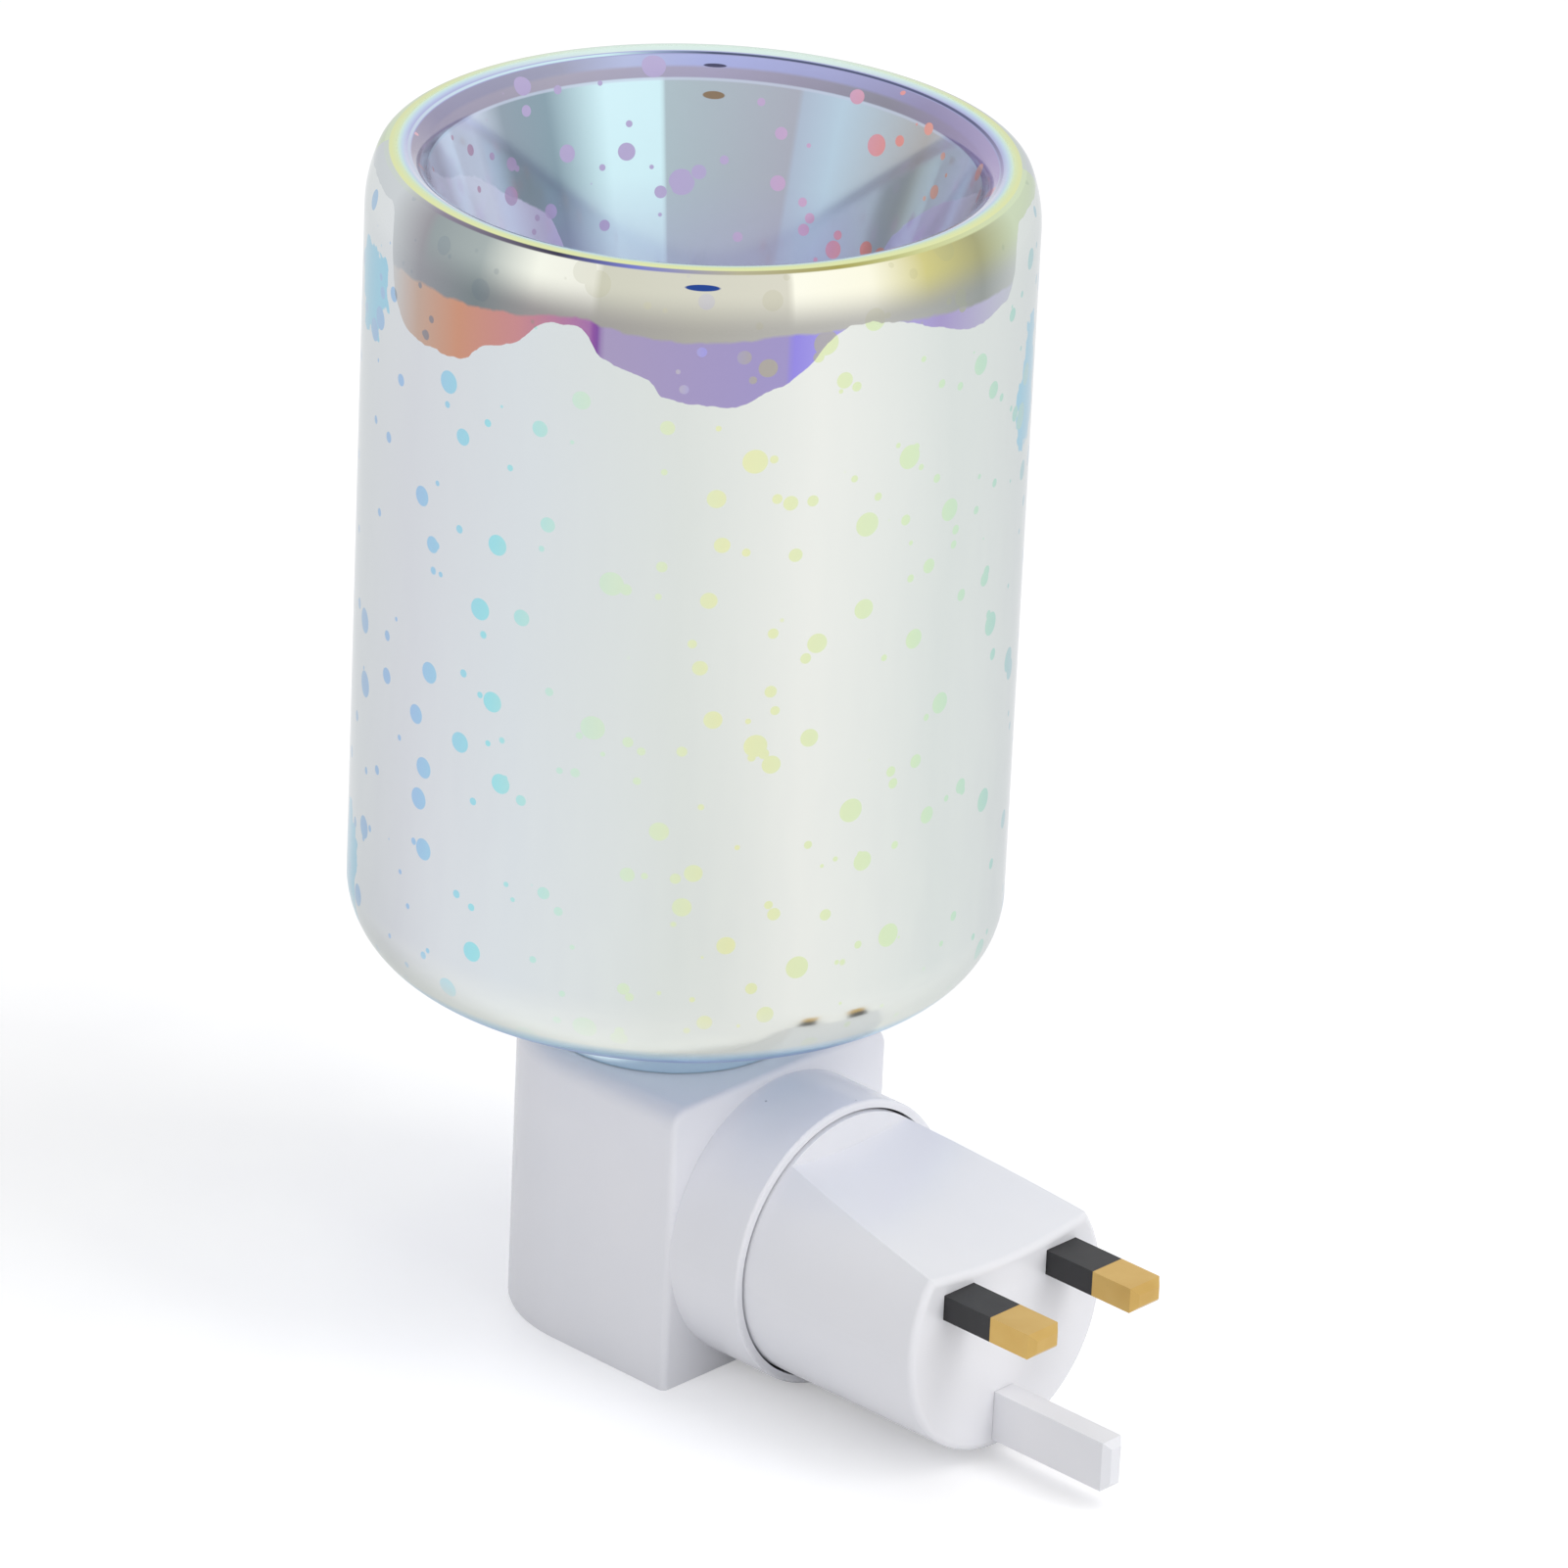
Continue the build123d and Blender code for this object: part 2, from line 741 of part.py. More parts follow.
def contact_ring():
    ring = rod(ring_outer, 0, 0, ring_face, disc_face) - rod(ring_inner, 0, 0, ring_face, disc_face)
    return ring + rod(ring_tail, 0, ring_middle, disc_face, contact_tail)


def link(begin_z, x):
    # from a turning contact's tail through the hub to a pin's tab
    tab_z = tab_low + tab_thickness / 2
    points = [
        (0, contact_tail, begin_z),
        (0, contact_tail + link_straight, begin_z),
        (x, tab_end - link_end_run, tab_z),
        (x, tab_end, tab_z),
    ]
    return drawn_wire(points, wire_radius, wire_bend)


def bevelled_pin(width, height, length, x, z):
    pin = pin_block(width, height, x, z, -pin_wall, length)
    return chamfer(pin.faces().sort_by(Axis.Y)[-1].edges(), pin_bevel)


def sleeve(x):
    s = 2 * sleeve_skin
    band = pin_block(line_pin_width, line_pin_height, x, line_pin_rise, -sleeve_root, sleeve_length)
    core = pin_block(line_pin_width - s, line_pin_height - s, x, line_pin_rise, -sleeve_root, sleeve_length)
    return band - core


def line_pin(x):
    pin = bevelled_pin(line_pin_width, line_pin_height, line_pin_length, x, line_pin_rise) - sleeve(x)
    back = -pin_wall - shoulder_thickness
    half = line_pin_width / 2 + pin_shoulder
    low = line_pin_rise - line_pin_height / 2 - pin_shoulder
    pin += block(x - half, x + half, back, -pin_wall, low, line_pin_rise + line_pin_height / 2)
    half_tab = tab_width / 2
    return pin + block(x - half_tab, x + half_tab, tab_end, back, tab_low, tab_low + tab_thickness)


def pin_sleeves():
    return Compound([sleeve(-pin_x), sleeve(pin_x)])


def earth_pin():
    pin = bevelled_pin(earth_pin_width, earth_pin_height, earth_pin_length, 0, earth_z)
    half = earth_pin_width / 2 + pin_shoulder
    back = -pin_wall - shoulder_thickness
    high = earth_z + earth_pin_height / 2 + pin_shoulder
    return pin + block(-half, half, back, -pin_wall, earth_z, high)


pieces = {
    "glass_shade": glass_shade(),
    "base_housing": base_housing(),
    "bottom_cover": bottom_cover(),
    "cover_screws": cover_screws(),
    "grip_ring": grip_ring(),
    "lamp_holder": lamp_holder(),
    "holder_shell": holder_shell(),
    "centre_contact": centre_contact(),
    "lamp_cap": lamp_cap(),
    "cap_insulator": cap_insulator(),
    "cap_contact": cap_contact(),
    "lamp_envelope": lamp_envelope(),
    "lamp_stem": lamp_stem(),
    "lamp_filament": lamp_filament(),
    "switch_body": switch_body(),
    "switch_rocker": switch_rocker(),
    "switch_terminals": switch_terminals(),
    "live_brush": live_brush(),
    "neutral_brush": neutral_brush(),
    "brush_rivets": brush_rivets(),
    "live_lead": live_lead(),
    "switched_lead": switched_lead(),
    "neutral_lead": neutral_lead(),
    "plug_shell": plug_shell(),
    "swivel_hub": swivel_hub(),
    "hub_screws": hub_screws(),
    "contact_disc": contact_disc(),
    "disc_screws": disc_screws(),
    "contact_stud": contact_stud(),
    "contact_ring": contact_ring(),
    "live_link": link(0, -pin_x),
    "neutral_link": link(ring_middle, pin_x),
    "live_pin": line_pin(-pin_x),
    "neutral_pin": line_pin(pin_x),
    "pin_sleeves": pin_sleeves(),
    "earth_pin": earth_pin(),
}

os.makedirs("parts", exist_ok=True)
for name, piece in pieces.items():
    export_step(piece, f"parts/{name}.step")
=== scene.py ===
import bpy, bmesh, json
from math import radians, sin, cos, tan, pi
from mathutils import Matrix, Vector


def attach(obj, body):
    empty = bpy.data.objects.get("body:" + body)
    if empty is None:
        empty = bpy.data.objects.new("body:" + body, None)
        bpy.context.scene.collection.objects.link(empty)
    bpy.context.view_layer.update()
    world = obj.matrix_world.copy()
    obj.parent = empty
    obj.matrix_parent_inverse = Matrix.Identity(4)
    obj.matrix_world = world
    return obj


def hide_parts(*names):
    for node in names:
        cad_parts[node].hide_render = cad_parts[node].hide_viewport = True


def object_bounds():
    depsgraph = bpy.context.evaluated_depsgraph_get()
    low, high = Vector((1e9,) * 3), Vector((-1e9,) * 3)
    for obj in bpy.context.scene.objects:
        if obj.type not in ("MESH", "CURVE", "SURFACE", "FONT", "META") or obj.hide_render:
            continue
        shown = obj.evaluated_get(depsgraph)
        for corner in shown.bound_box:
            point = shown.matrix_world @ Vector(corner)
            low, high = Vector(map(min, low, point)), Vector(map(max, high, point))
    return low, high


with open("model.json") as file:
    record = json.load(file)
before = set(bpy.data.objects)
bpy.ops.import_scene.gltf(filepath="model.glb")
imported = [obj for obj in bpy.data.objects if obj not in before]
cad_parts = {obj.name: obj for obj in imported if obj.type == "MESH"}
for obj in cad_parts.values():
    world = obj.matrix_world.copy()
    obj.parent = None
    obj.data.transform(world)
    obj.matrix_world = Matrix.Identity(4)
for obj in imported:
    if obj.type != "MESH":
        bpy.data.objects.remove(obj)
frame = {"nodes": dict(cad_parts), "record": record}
cadLow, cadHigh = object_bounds()
nodes = frame["nodes"]
mm = 0.001
rgba = {"data_type": "RGBA"}  # a mix of colours: sockets 6 and 7 go in, output 2 comes out
print("frame loaded:", len(nodes), "nodes")


def hexColour(text):
    # sRGB hex to the linear colour that the shaders take
    out = []
    for i in (1, 3, 5):
        c = int(text[i:i + 2], 16) / 255
        out.append(c / 12.92 if c <= 0.04045 else ((c + 0.055) / 1.055) ** 2.4)
    return (out[0], out[1], out[2], 1.0)


def addNode(tree, kind, settings=None, values=None, links=None, ramp=None, curve=None):
    # one node with its settings, socket values and links; a ramp's stops or a curve's points too
    node = tree.nodes.new(kind)
    for name, value in (settings or {}).items():
        setattr(node, name, value)
    for key, value in (values or {}).items():
        node.inputs[key].default_value = value
    for key, source in (links or {}).items():
        tree.links.new(source, node.inputs[key])
    if ramp:
        stops = node.color_ramp.elements
        while len(stops) < len(ramp):
            stops.new(0.5)
        for stop, (place, colour) in zip(stops, ramp):
            stop.position, stop.color = place, hexColour(colour)
    if curve:
        points = node.mapping.curves[0].points
        points[0].location, points[1].location = curve[0], curve[-1]
        for x, y in curve[1:-1]:
            points.new(x, y)
        for point in points:
            point.handle_type = "AUTO_CLAMPED"
        node.mapping.update()
    return node


def newMaterial(name):
    mat = bpy.data.materials.new(name)
    mat.use_nodes = True
    mat.node_tree.nodes.clear()
    return mat, mat.node_tree


# where the photograph was taken from, measured about the middle of the plug's collar
photoCamera = {
    "azimuth": 132.84, "elevation": 24.38, "roll": 2.655,
    "distance": 1535.3 * mm, "focalPixels": 10448.9, "imagePixels": 1601,
    "target": Vector((0, -34.0 * mm, 0)), "targetPixel": (858.66, 1267.59),
    "sensor": 36.0, "clip": (0.05, 50),
}


def makeCamera(c):
    a, e, roll = radians(c["azimuth"]), radians(c["elevation"]), radians(c["roll"])
    back = Vector((sin(a) * cos(e), -cos(a) * cos(e), sin(e)))
    flat = Vector((cos(a), sin(a), 0))
    rise = back.cross(flat)
    right = flat * cos(roll) + rise * sin(roll)
    up = rise * cos(roll) - flat * sin(roll)
    perPixel = c["distance"] / c["focalPixels"]
    middle = (c["imagePixels"] - 1) / 2
    across = (c["targetPixel"][0] - middle) * perPixel
    down = (c["targetPixel"][1] - middle) * perPixel
    place = c["target"] - right * across + up * down + back * c["distance"]
    data = bpy.data.cameras.new("photoCamera")
    data.sensor_width = c["sensor"]
    data.lens = c["focalPixels"] * c["sensor"] / c["imagePixels"]
    data.clip_start, data.clip_end = c["clip"]
    cam = bpy.data.objects.new("photoCamera", data)
    cam.matrix_world = Matrix((
        (right.x, up.x, back.x, place.x), (right.y, up.y, back.y, place.y),
        (right.z, up.z, back.z, place.z), (0, 0, 0, 1)))
    bpy.context.scene.collection.objects.link(cam)
    bpy.context.scene.camera = cam


makeCamera(photoCamera)
bpy.context.scene.view_settings.view_transform = "Standard"
print("camera placed")

# plain pale floor, white surroundings and big soft lights
studio = {
    "floorSize": 6.0, "floorColours": ("#f4f4f6", "#f7f7f8"), "paperScale": 260.0, "skyColour": "#ffffff",
    "sky": 0.36, "glow": 0.14, "cameraGlow": 0.12, "fade": (0.32, 0.8), "aim": Vector((0, -0.06, 0.06)),
}
lamps = {
    "keyRight": {"place": (-0.52, 1.17, 2.0), "size": 1.2, "power": 12.2},
    "fillLeft": {"place": (1.6, 0.1, 0.9), "size": 1.5, "power": 5.6},
    "frontRight": {"place": (-0.3, 1.7, 0.8), "size": 1.8, "power": 11.5},
    "overhead": {"place": (0.1, -0.2, 1.9), "size": 1.6, "power": 6.0},
    "roomSide": {"place": (-0.9, -1.5, 1.0), "size": 1.4, "power": 7.5},
}


def seenRays(tree):
    # rays straight from the camera, and all that end up in the picture, mirrored or through glass as well
    path = addNode(tree, "ShaderNodeLightPath")
    straight = path.outputs["Is Camera Ray"]
    seen = addNode(tree, "ShaderNodeMath", {"operation": "MAXIMUM"},
                   links={0: path.outputs["Is Glossy Ray"], 1: path.outputs["Is Transmission Ray"]})
    seen = addNode(tree, "ShaderNodeMath", {"operation": "MAXIMUM"}, links={0: straight, 1: seen.outputs[0]})
    return straight, seen.outputs[0]


def makeFloor(s):
    mesh = bpy.data.meshes.new("floor")
    h, z = s["floorSize"] / 2, cadLow.z
    mesh.from_pydata([(-h, -h, z), (h, -h, z), (h, h, z), (-h, h, z)], [], [(0, 1, 2, 3)])
    floor = bpy.data.objects.new("floor", mesh)
    bpy.context.scene.collection.objects.link(floor)
    mat, tree = newMaterial("paleStudioPaper")
    grain = addNode(tree, "ShaderNodeTexNoise", values={"Scale": s["paperScale"], "Detail": 2.0})
    tint = addNode(tree, "ShaderNodeValToRGB", links={"Fac": grain.outputs["Fac"]},
                   ramp=[(0.3, s["floorColours"][0]), (0.7, s["floorColours"][1])])
    paper = addNode(tree, "ShaderNodeBsdfDiffuse", links={"Color": tint.outputs["Color"]})
    # the floor that is seen is lifted, takes the object's shadow and fades into the white room
    straight, seen = seenRays(tree)
    lift = addNode(tree, "ShaderNodeMath", {"operation": "MULTIPLY"}, {1: s["glow"]}, {0: seen})
    lift = addNode(tree, "ShaderNodeMath", {"operation": "MULTIPLY_ADD"}, {1: s["cameraGlow"]},
                   {0: straight, 2: lift.outputs[0]})
    glow = addNode(tree, "ShaderNodeEmission", links={"Strength": lift.outputs[0]})
    lifted = addNode(tree, "ShaderNodeAddShader", links={0: paper.outputs[0], 1: glow.outputs[0]})
    coords = addNode(tree, "ShaderNodeTexCoord").outputs["Object"]
    away = addNode(tree, "ShaderNodeVectorMath", {"operation": "LENGTH"}, links={0: coords})
    fade = addNode(tree, "ShaderNodeMapRange", {"interpolation_type": "SMOOTHSTEP"},
                   {"From Min": s["fade"][0], "From Max": s["fade"][1]}, {"Value": away.outputs["Value"]})
    fade = addNode(tree, "ShaderNodeMath", {"operation": "MULTIPLY"}, links={0: seen, 1: fade.outputs[0]})
    white = addNode(tree, "ShaderNodeEmission", values={"Color": hexColour(s["skyColour"])})
    both = addNode(tree, "ShaderNodeMixShader",
                   links={"Fac": fade.outputs[0], 1: lifted.outputs[0], 2: white.outputs[0]})
    addNode(tree, "ShaderNodeOutputMaterial", links={"Surface": both.outputs[0]})
    floor.data.materials.append(mat)


def makeWorld(s):
    # full white where it is seen, dimmer as a light
    world = bpy.data.worlds.new("whiteRoom")
    bpy.context.scene.world = world
    world.use_nodes = True
    tree = world.node_tree
    tree.nodes.clear()
    seen = seenRays(tree)[1]
    strength = addNode(tree, "ShaderNodeMapRange", values={"To Min": s["sky"], "To Max": 1.0},
                       links={"Value": seen})
    sky = addNode(tree, "ShaderNodeBackground", values={"Color": hexColour(s["skyColour"])},
                  links={"Strength": strength.outputs[0]})
    addNode(tree, "ShaderNodeOutputWorld", links={"Surface": sky.outputs[0]})


def makeLamp(name, p, aim):
    data = bpy.data.lights.new(name, "AREA")
    data.shape, data.size, data.energy = "DISK", p["size"], p["power"]
    lamp = bpy.data.objects.new(name, data)
    lamp.location = p["place"]
    lamp.rotation_euler = (aim - Vector(p["place"])).to_track_quat("-Z", "Y").to_euler()
    lamp.visible_glossy = False  # the mirror coat shows the white room, not each lamp's disc
    bpy.context.scene.collection.objects.link(lamp)


makeFloor(studio)
makeWorld(studio)
for lampName, lampPlan in lamps.items():
    makeLamp(lampName, lampPlan, studio["aim"])
print("studio lit")

# glass shade: one blown skin, outside wall and wax bowl drawn down into the top
shade = {
    "axisY": -71.4, "seat": 23.8, "radius": 49.5, "height": 139.8, "wall": 2.4,
    "neckRadius": 19.8, "neckHeight": 11.8, "neckFillet": 5.0, "heel": 12.5,
    "shoulder": 20.2, "shoulderSweep": 21.8, "lipOuter": 3.0, "lipInner": 5.0,
    "bowlDepth": 44.0, "funnelSlope": 20.0, "bowlCorner": 15.0,
    "footRound": 0.6, "footStep": 15.0, "arcStep": 3.0, "segments": 240, "weld": 0.002,
}


def rollRadius(s):
    # where the lip's crest runs round
    gather = s["shoulder"] - s["lipOuter"]
    return s["radius"] - s["shoulder"] + gather * cos(radians(s["shoulderSweep"]))


def arcPoints(centre, radius, begin, end, step):
    count = max(2, int(abs(end - begin) / step + 0.5))
    points = []
    for i in range(count + 1):
        a = radians(begin + (end - begin) * i / count)
        points.append((centre[0] + radius * cos(a), centre[1] + radius * sin(a)))
    return points


def shadeSkin(s, inset):
    # the same arcs as the solid, at one distance inside its outer skin
    under = s["seat"] + s["neckHeight"]
    crest = s["seat"] + s["height"]
    slope = radians(s["funnelSlope"])
    gather = s["shoulder"] - s["lipOuter"]
    shoulderZ = crest - s["lipOuter"] - gather * sin(radians(s["shoulderSweep"]))
    neckC = (s["neckRadius"] + s["neckFillet"], under - s["neckFillet"])
    heelC = (s["radius"] - s["heel"], under + s["heel"])
    shoulderC = (s["radius"] - s["shoulder"], shoulderZ)
    rollR = rollRadius(s)
    outerC, innerC = (rollR, crest - s["lipOuter"]), (rollR, crest - s["lipInner"])
    floorZ = crest - s["bowlDepth"]
    cornerZ = floorZ + s["bowlCorner"]
    leave = (rollR - s["lipInner"] * cos(slope), innerC[1] + s["lipInner"] * sin(slope))
    touchZ = cornerZ - s["bowlCorner"] * sin(slope)
    touchR = leave[0] - (leave[1] - touchZ) * tan(slope)
    cornerC = (touchR - s["bowlCorner"] * cos(slope), cornerZ)
    step = s["arcStep"]
    skin = arcPoints(neckC, s["neckFillet"] + inset, 180, 90, step)
    skin += arcPoints(heelC, s["heel"] - inset, -90, 0, step)
    skin += arcPoints(shoulderC, s["shoulder"] - inset, 0, s["shoulderSweep"], step / 2)
    skin += arcPoints(outerC, s["lipOuter"] - inset, s["shoulderSweep"], 90, step)[1:]
    skin += arcPoints(innerC, s["lipInner"] - inset, 90, 180 - s["funnelSlope"], step)[1:]
    skin += arcPoints(cornerC, s["bowlCorner"] + inset, -s["funnelSlope"], -90, step)
    skin.append((0, floorZ - inset))
    return skin


def shadeProfile(s):
    # round the foot of the neck, up the outer skin and back along the inner one
    r, t, z, f = s["neckRadius"], s["wall"], s["seat"], s["footRound"]
    foot = arcPoints((r - t + f, z + f), f, 180, 270, s["footStep"])
    foot += arcPoints((r - f, z + f), f, 270, 360, s["footStep"])
    return foot + shadeSkin(s, 0.0) + list(reversed(shadeSkin(s, t)))


def latheTree(weld):
    # turns a row of profile points about Z: a grid whose rows are the profile at each angle
    tree = bpy.data.node_groups.new("turnedGlass", "GeometryNodeTree")
    face = tree.interface
    face.new_socket("Geometry", in_out="INPUT", socket_type="NodeSocketGeometry")
    face.new_socket("Segments", in_out="INPUT", socket_type="NodeSocketInt")
    face.new_socket("Axis", in_out="INPUT", socket_type="NodeSocketVector")
    face.new_socket("Material", in_out="INPUT", socket_type="NodeSocketMaterial")
    face.new_socket("Geometry", in_out="OUTPUT", socket_type="NodeSocketGeometry")
    start = addNode(tree, "NodeGroupInput")
    profile, segments, axis, finish = [start.outputs[i] for i in range(4)]
    count = addNode(tree, "GeometryNodeAttributeDomainSize", links={"Geometry": profile})
    rows = addNode(tree, "FunctionNodeIntegerMath", {"operation": "ADD"}, {1: 1}, {0: segments})
    grid = addNode(tree, "GeometryNodeMeshGrid", links={
        "Vertices X": count.outputs["Point Count"], "Vertices Y": rows.outputs[0]})
    index = addNode(tree, "GeometryNodeInputIndex")
    along = addNode(tree, "FunctionNodeIntegerMath", {"operation": "DIVIDE_FLOOR"},
                    links={0: index.outputs[0], 1: rows.outputs[0]})
    around = addNode(tree, "FunctionNodeIntegerMath", {"operation": "MODULO"},
                     links={0: index.outputs[0], 1: rows.outputs[0]})
    place = addNode(tree, "GeometryNodeInputPosition")
    sample = addNode(tree, "GeometryNodeSampleIndex", {"data_type": "FLOAT_VECTOR", "domain": "POINT"},
                     links={"Geometry": profile, "Value": place.outputs[0], "Index": along.outputs[0]})
    share = addNode(tree, "ShaderNodeMath", {"operation": "DIVIDE"},
                    links={0: around.outputs[0], 1: segments})
    angle = addNode(tree, "ShaderNodeMath", {"operation": "MULTIPLY"}, {1: 2 * pi}, {0: share.outputs[0]})
    turn = addNode(tree, "ShaderNodeVectorRotate", {"rotation_type": "Z_AXIS"},
                   links={"Vector": sample.outputs["Value"], "Angle": angle.outputs[0]})
    shift = addNode(tree, "ShaderNodeVectorMath", {"operation": "ADD"}, links={0: turn.outputs[0], 1: axis})
    bent = addNode(tree, "GeometryNodeSetPosition", links={
        "Geometry": grid.outputs["Mesh"], "Position": shift.outputs[0]})
    closed = addNode(tree, "GeometryNodeMergeByDistance", values={"Distance": weld * mm},
                     links={"Geometry": bent.outputs[0]})
    smooth = addNode(tree, "GeometryNodeSetShadeSmooth", links={"Geometry": closed.outputs[0]})
    real = addNode(tree, "GeometryNodeRealizeInstances", links={"Geometry": smooth.outputs[0]})
    coated = addNode(tree, "GeometryNodeSetMaterial",
                     links={"Geometry": real.outputs[0], "Material": finish})
    addNode(tree, "NodeGroupOutput", links={0: coated.outputs[0]})
    return tree


def turnedPiece(name, s, mat):
    mesh = bpy.data.meshes.new(name + "Profile")
    mesh.from_pydata([(r * mm, 0, z * mm) for r, z in shadeProfile(s)], [], [])
    raw = bpy.data.objects.new(name + "Profile", mesh)
    bpy.context.scene.collection.objects.link(raw)
    tree = latheTree(s["weld"])
    lathe = raw.modifiers.new("lathe", "NODES")
    lathe.node_group = tree
    ids = {item.name: item.identifier for item in tree.interface.items_tree if item.in_out == "INPUT"}
    lathe[ids["Segments"]] = s["segments"]
    lathe[ids["Axis"]] = (0.0, s["axisY"] * mm, 0.0)
    lathe[ids["Material"]] = mat
    bpy.context.view_layer.update()
    dg = bpy.context.evaluated_depsgraph_get()
    made = bpy.data.meshes.new_from_object(raw.evaluated_get(dg), depsgraph=dg)
    raw.modifiers.remove(lathe)
    bpy.data.objects.remove(raw)
    b = bmesh.new()
    b.from_mesh(made)
    bmesh.ops.recalc_face_normals(b, faces=b.faces)
    b.to_mesh(made)
    b.free()
    made.name = name
    piece = bpy.data.objects.new(name, made)
    bpy.context.scene.collection.objects.link(piece)
    return piece


